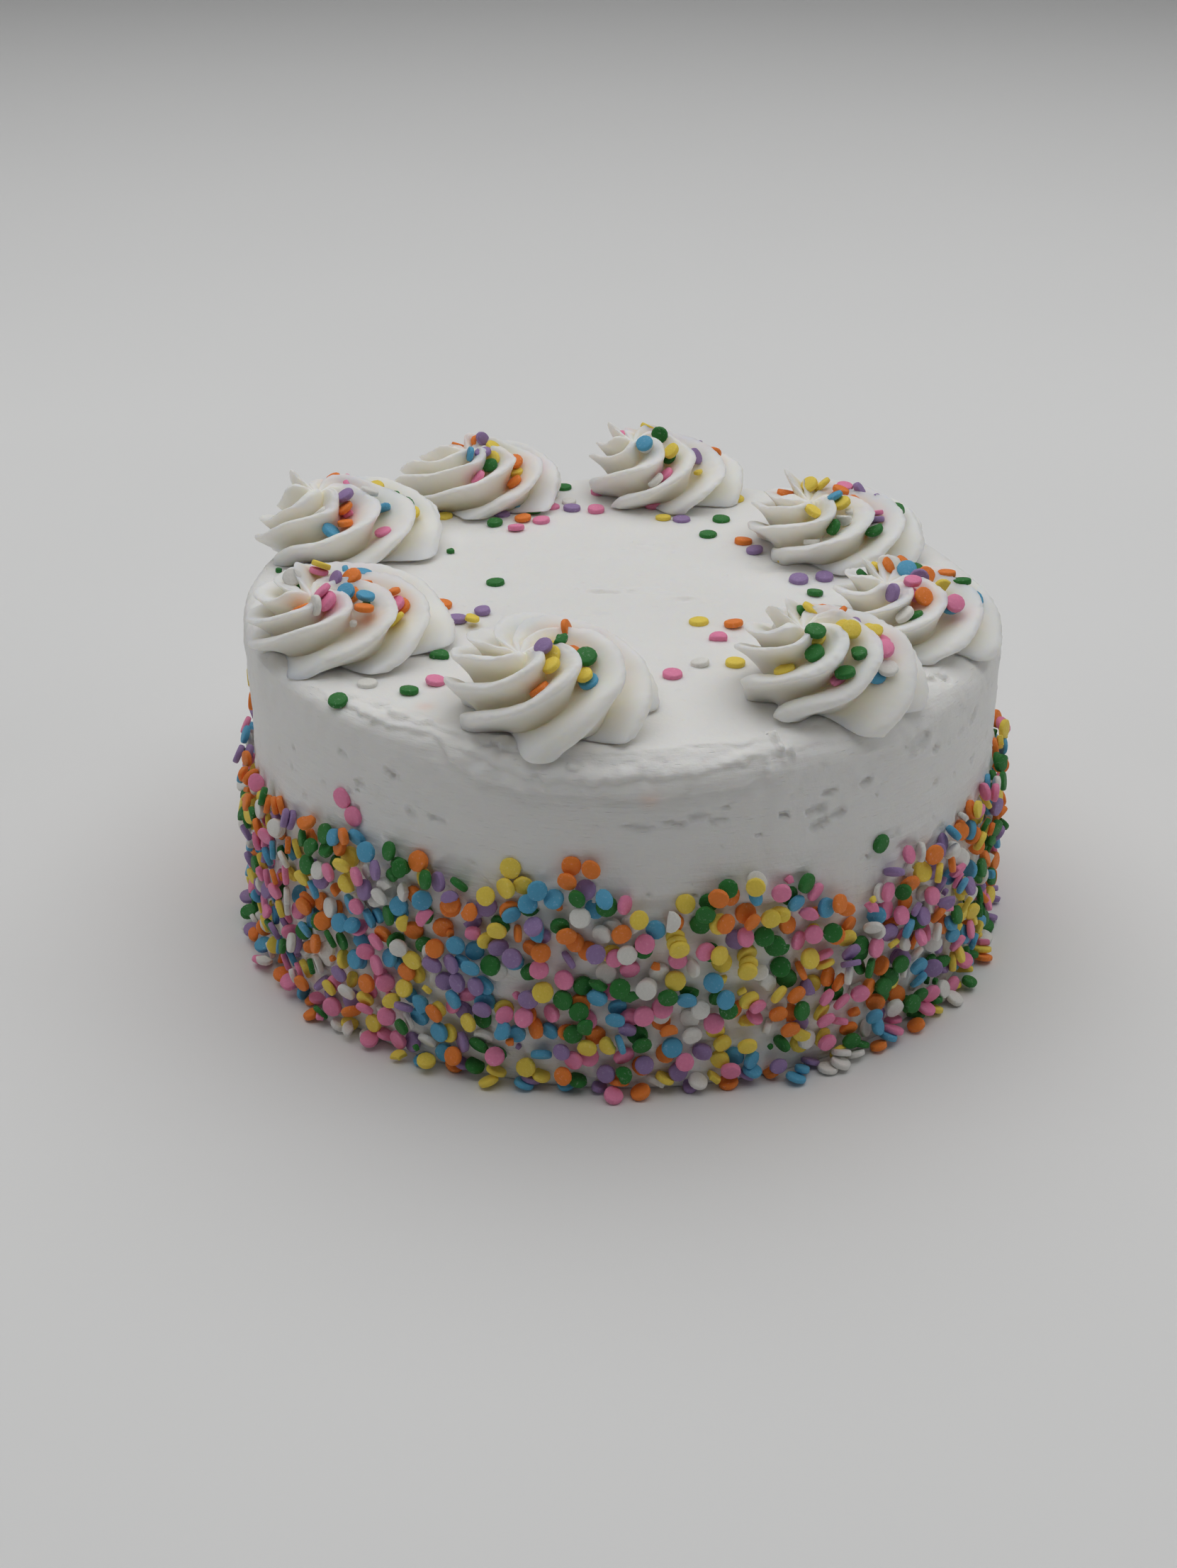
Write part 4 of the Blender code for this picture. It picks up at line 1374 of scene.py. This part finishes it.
class CAKE_OT_scatter_confetti(bpy.types.Operator):
    """Scatter the confetti, let its dye run into the icing and paint light and shade into it"""

    bl_idname = "cake.scatter_confetti"
    bl_label = "Scatter the confetti"

    def execute(self, context):
        confetti = context.scene.cake_confetti
        body = bpy.data.objects["iced_body"]
        rosettes = [bpy.data.objects[f"piped_rosette_{n}"] for n in range(1, len(ROSETTES) + 1)]
        context.view_layer.update()
        scatter = Scatter(confetti, body, rosettes)
        scatter_top(scatter)
        scatter_chips(scatter)
        scatter_rosettes(scatter, rosette_gains())
        scatter_foot(scatter, confetti.foot_count)
        scatter_wall(scatter, confetti.wall_count)
        for number, colour in enumerate(COLOURS):
            entries = [entry for entry in scatter.placed if entry["colour"] == colour]
            name = f"confetti_{colour}"
            mesh = confetti_mesh(name, entries, confetti, SEED + 40 + number)
            material = sugar_material(name, confetti.get_colour(colour))
            add_piece(name, mesh, material, "icing")
        dyed = [entry for entry in scatter.placed if entry["colour"] != "white"]
        # Dye with painted light on the band's icing, then dye with painted warm shade in the piping's hollows
        stain_and_paint_tone(body, dyed + specks(scatter), PAINTED_BAND_LIGHT, *BODY_DYE)
        for piece in rosettes:
            stain_and_paint_tone(piece, dyed, PAINTED_HOLLOW_SHADE, *PIPING_DYE)
        return {"FINISHED"}


class CAKE_OT_set_stage(bpy.types.Operator):
    """Set the backdrop, the lights and the camera"""

    bl_idname = "cake.set_stage"
    bl_label = "Set the stage"

    def execute(self, context):
        stage = context.scene.cake_stage
        floor = make_backdrop(stage)
        make_light(*OVERHEAD, stage.key)
        for light in SIDES:
            make_light(*light, stage.sides * SIDE_POWER)
        make_sky(context.scene, stage.sky)
        make_camera(context.scene)
        return {"FINISHED"}


class CAKE_PT_panel(bpy.types.Panel):
    """Lists the steps that dress the cake and their sizes"""

    bl_label = "Cake"
    bl_idname = "CAKE_PT_panel"
    bl_space_type = "VIEW_3D"
    bl_region_type = "UI"
    bl_category = "Cake"

    def draw(self, context):
        steps = (
            ("cake.ice_body", context.scene.cake_icing),
            ("cake.pipe_rosettes", context.scene.cake_piping),
            ("cake.scatter_confetti", context.scene.cake_confetti),
            ("cake.set_stage", context.scene.cake_stage),
        )
        for step, settings in steps:
            box = self.layout.box()
            for name in settings.__annotations__:
                box.prop(settings, name)
            box.operator(step)


def rosette_gains():
    """The uneven arms of every rosette, the same on every call."""
    draw = random.Random(SEED + 9)
    return [arm_gains(draw, *rosette) for rosette in zip(ROSETTES, TORN_POINTS, VALLEYS)]


def make_backdrop(stage):
    """A seamless sheet that runs from the floor up behind the cake."""
    width, front, back, bend, rise = BACKDROP
    path = [(front, 0.0), (back - bend, 0.0)]
    for step in range(1, BEND_STEPS + 1):
        turn = math.pi / 2 * step / BEND_STEPS
        path.append((back - bend + bend * math.sin(turn), bend - bend * math.cos(turn)))
    path.append((back, rise))
    points = [(side * width, y, z) for y, z in path for side in (-1, 1)]
    faces = [(2 * i, 2 * i + 1, 2 * i + 3, 2 * i + 2) for i in range(len(path) - 1)]
    mesh = smooth_mesh("backdrop", np.array(points), faces)
    mesh.materials.append(paper_material(stage.paper))
    floor = bpy.data.objects.new("backdrop", mesh)
    bpy.context.scene.collection.objects.link(floor)
    return floor


def make_light(name, place, target, size, power):
    """A square soft light that looks at a point."""
    light = bpy.data.lights.new(name, "AREA")
    light.shape = "SQUARE"
    light.size = size
    light.energy = power
    lamp = bpy.data.objects.new(name, light)
    lamp.location = place
    aim = Vector(target) - Vector(place)
    lamp.rotation_euler = aim.to_track_quat("-Z", "Y").to_euler()
    bpy.context.scene.collection.objects.link(lamp)


def make_sky(scene, strength):
    """Even light from all round, seen with plain tones."""
    world = bpy.data.worlds.new("soft_sky")
    world.use_nodes = True
    background = world.node_tree.nodes["Background"]
    background.inputs["Color"].default_value = (0.95, 0.97, 1.0, 1.0)
    background.inputs["Strength"].default_value = strength
    scene.world = world
    scene.view_settings.view_transform = "Standard"


def make_camera(scene):
    """The camera at the viewing angle, with the cake framed as it is seen."""
    data = bpy.data.cameras.new("camera")
    data.sensor_fit = "AUTO"
    data.sensor_width = FILM
    data.lens = FOCAL_PIXELS / PICTURE_HEIGHT * FILM
    data.clip_start = 0.02
    camera = bpy.data.objects.new("camera", data)
    camera.location = CAMERA_PLACE
    camera.rotation_euler = (math.radians(90 - CAMERA_PITCH), 0.0, 0.0)
    scene.collection.objects.link(camera)
    scene.camera = camera


CLASSES = (
    CakeIcing,
    CakePiping,
    CakeConfetti,
    CakeStage,
    CAKE_OT_ice_body,
    CAKE_OT_pipe_rosettes,
    CAKE_OT_scatter_confetti,
    CAKE_OT_set_stage,
    CAKE_PT_panel,
)
SETTINGS = {
    "cake_icing": CakeIcing,
    "cake_piping": CakePiping,
    "cake_confetti": CakeConfetti,
    "cake_stage": CakeStage,
}


def register():
    """Registers the classes and gives the scene their settings."""
    for item in CLASSES:
        bpy.utils.register_class(item)
    for name, kind in SETTINGS.items():
        setattr(bpy.types.Scene, name, PointerProperty(type=kind))


def unregister():
    """Takes the settings and classes away again."""
    for name in SETTINGS:
        delattr(bpy.types.Scene, name)
    for item in reversed(CLASSES):
        bpy.utils.unregister_class(item)


def main():
    """Dresses the cake step by step."""
    register()
    bpy.ops.cake.ice_body()
    bpy.ops.cake.pipe_rosettes()
    bpy.ops.cake.scatter_confetti()
    bpy.ops.cake.set_stage()


if __name__ == "__main__":
    main()
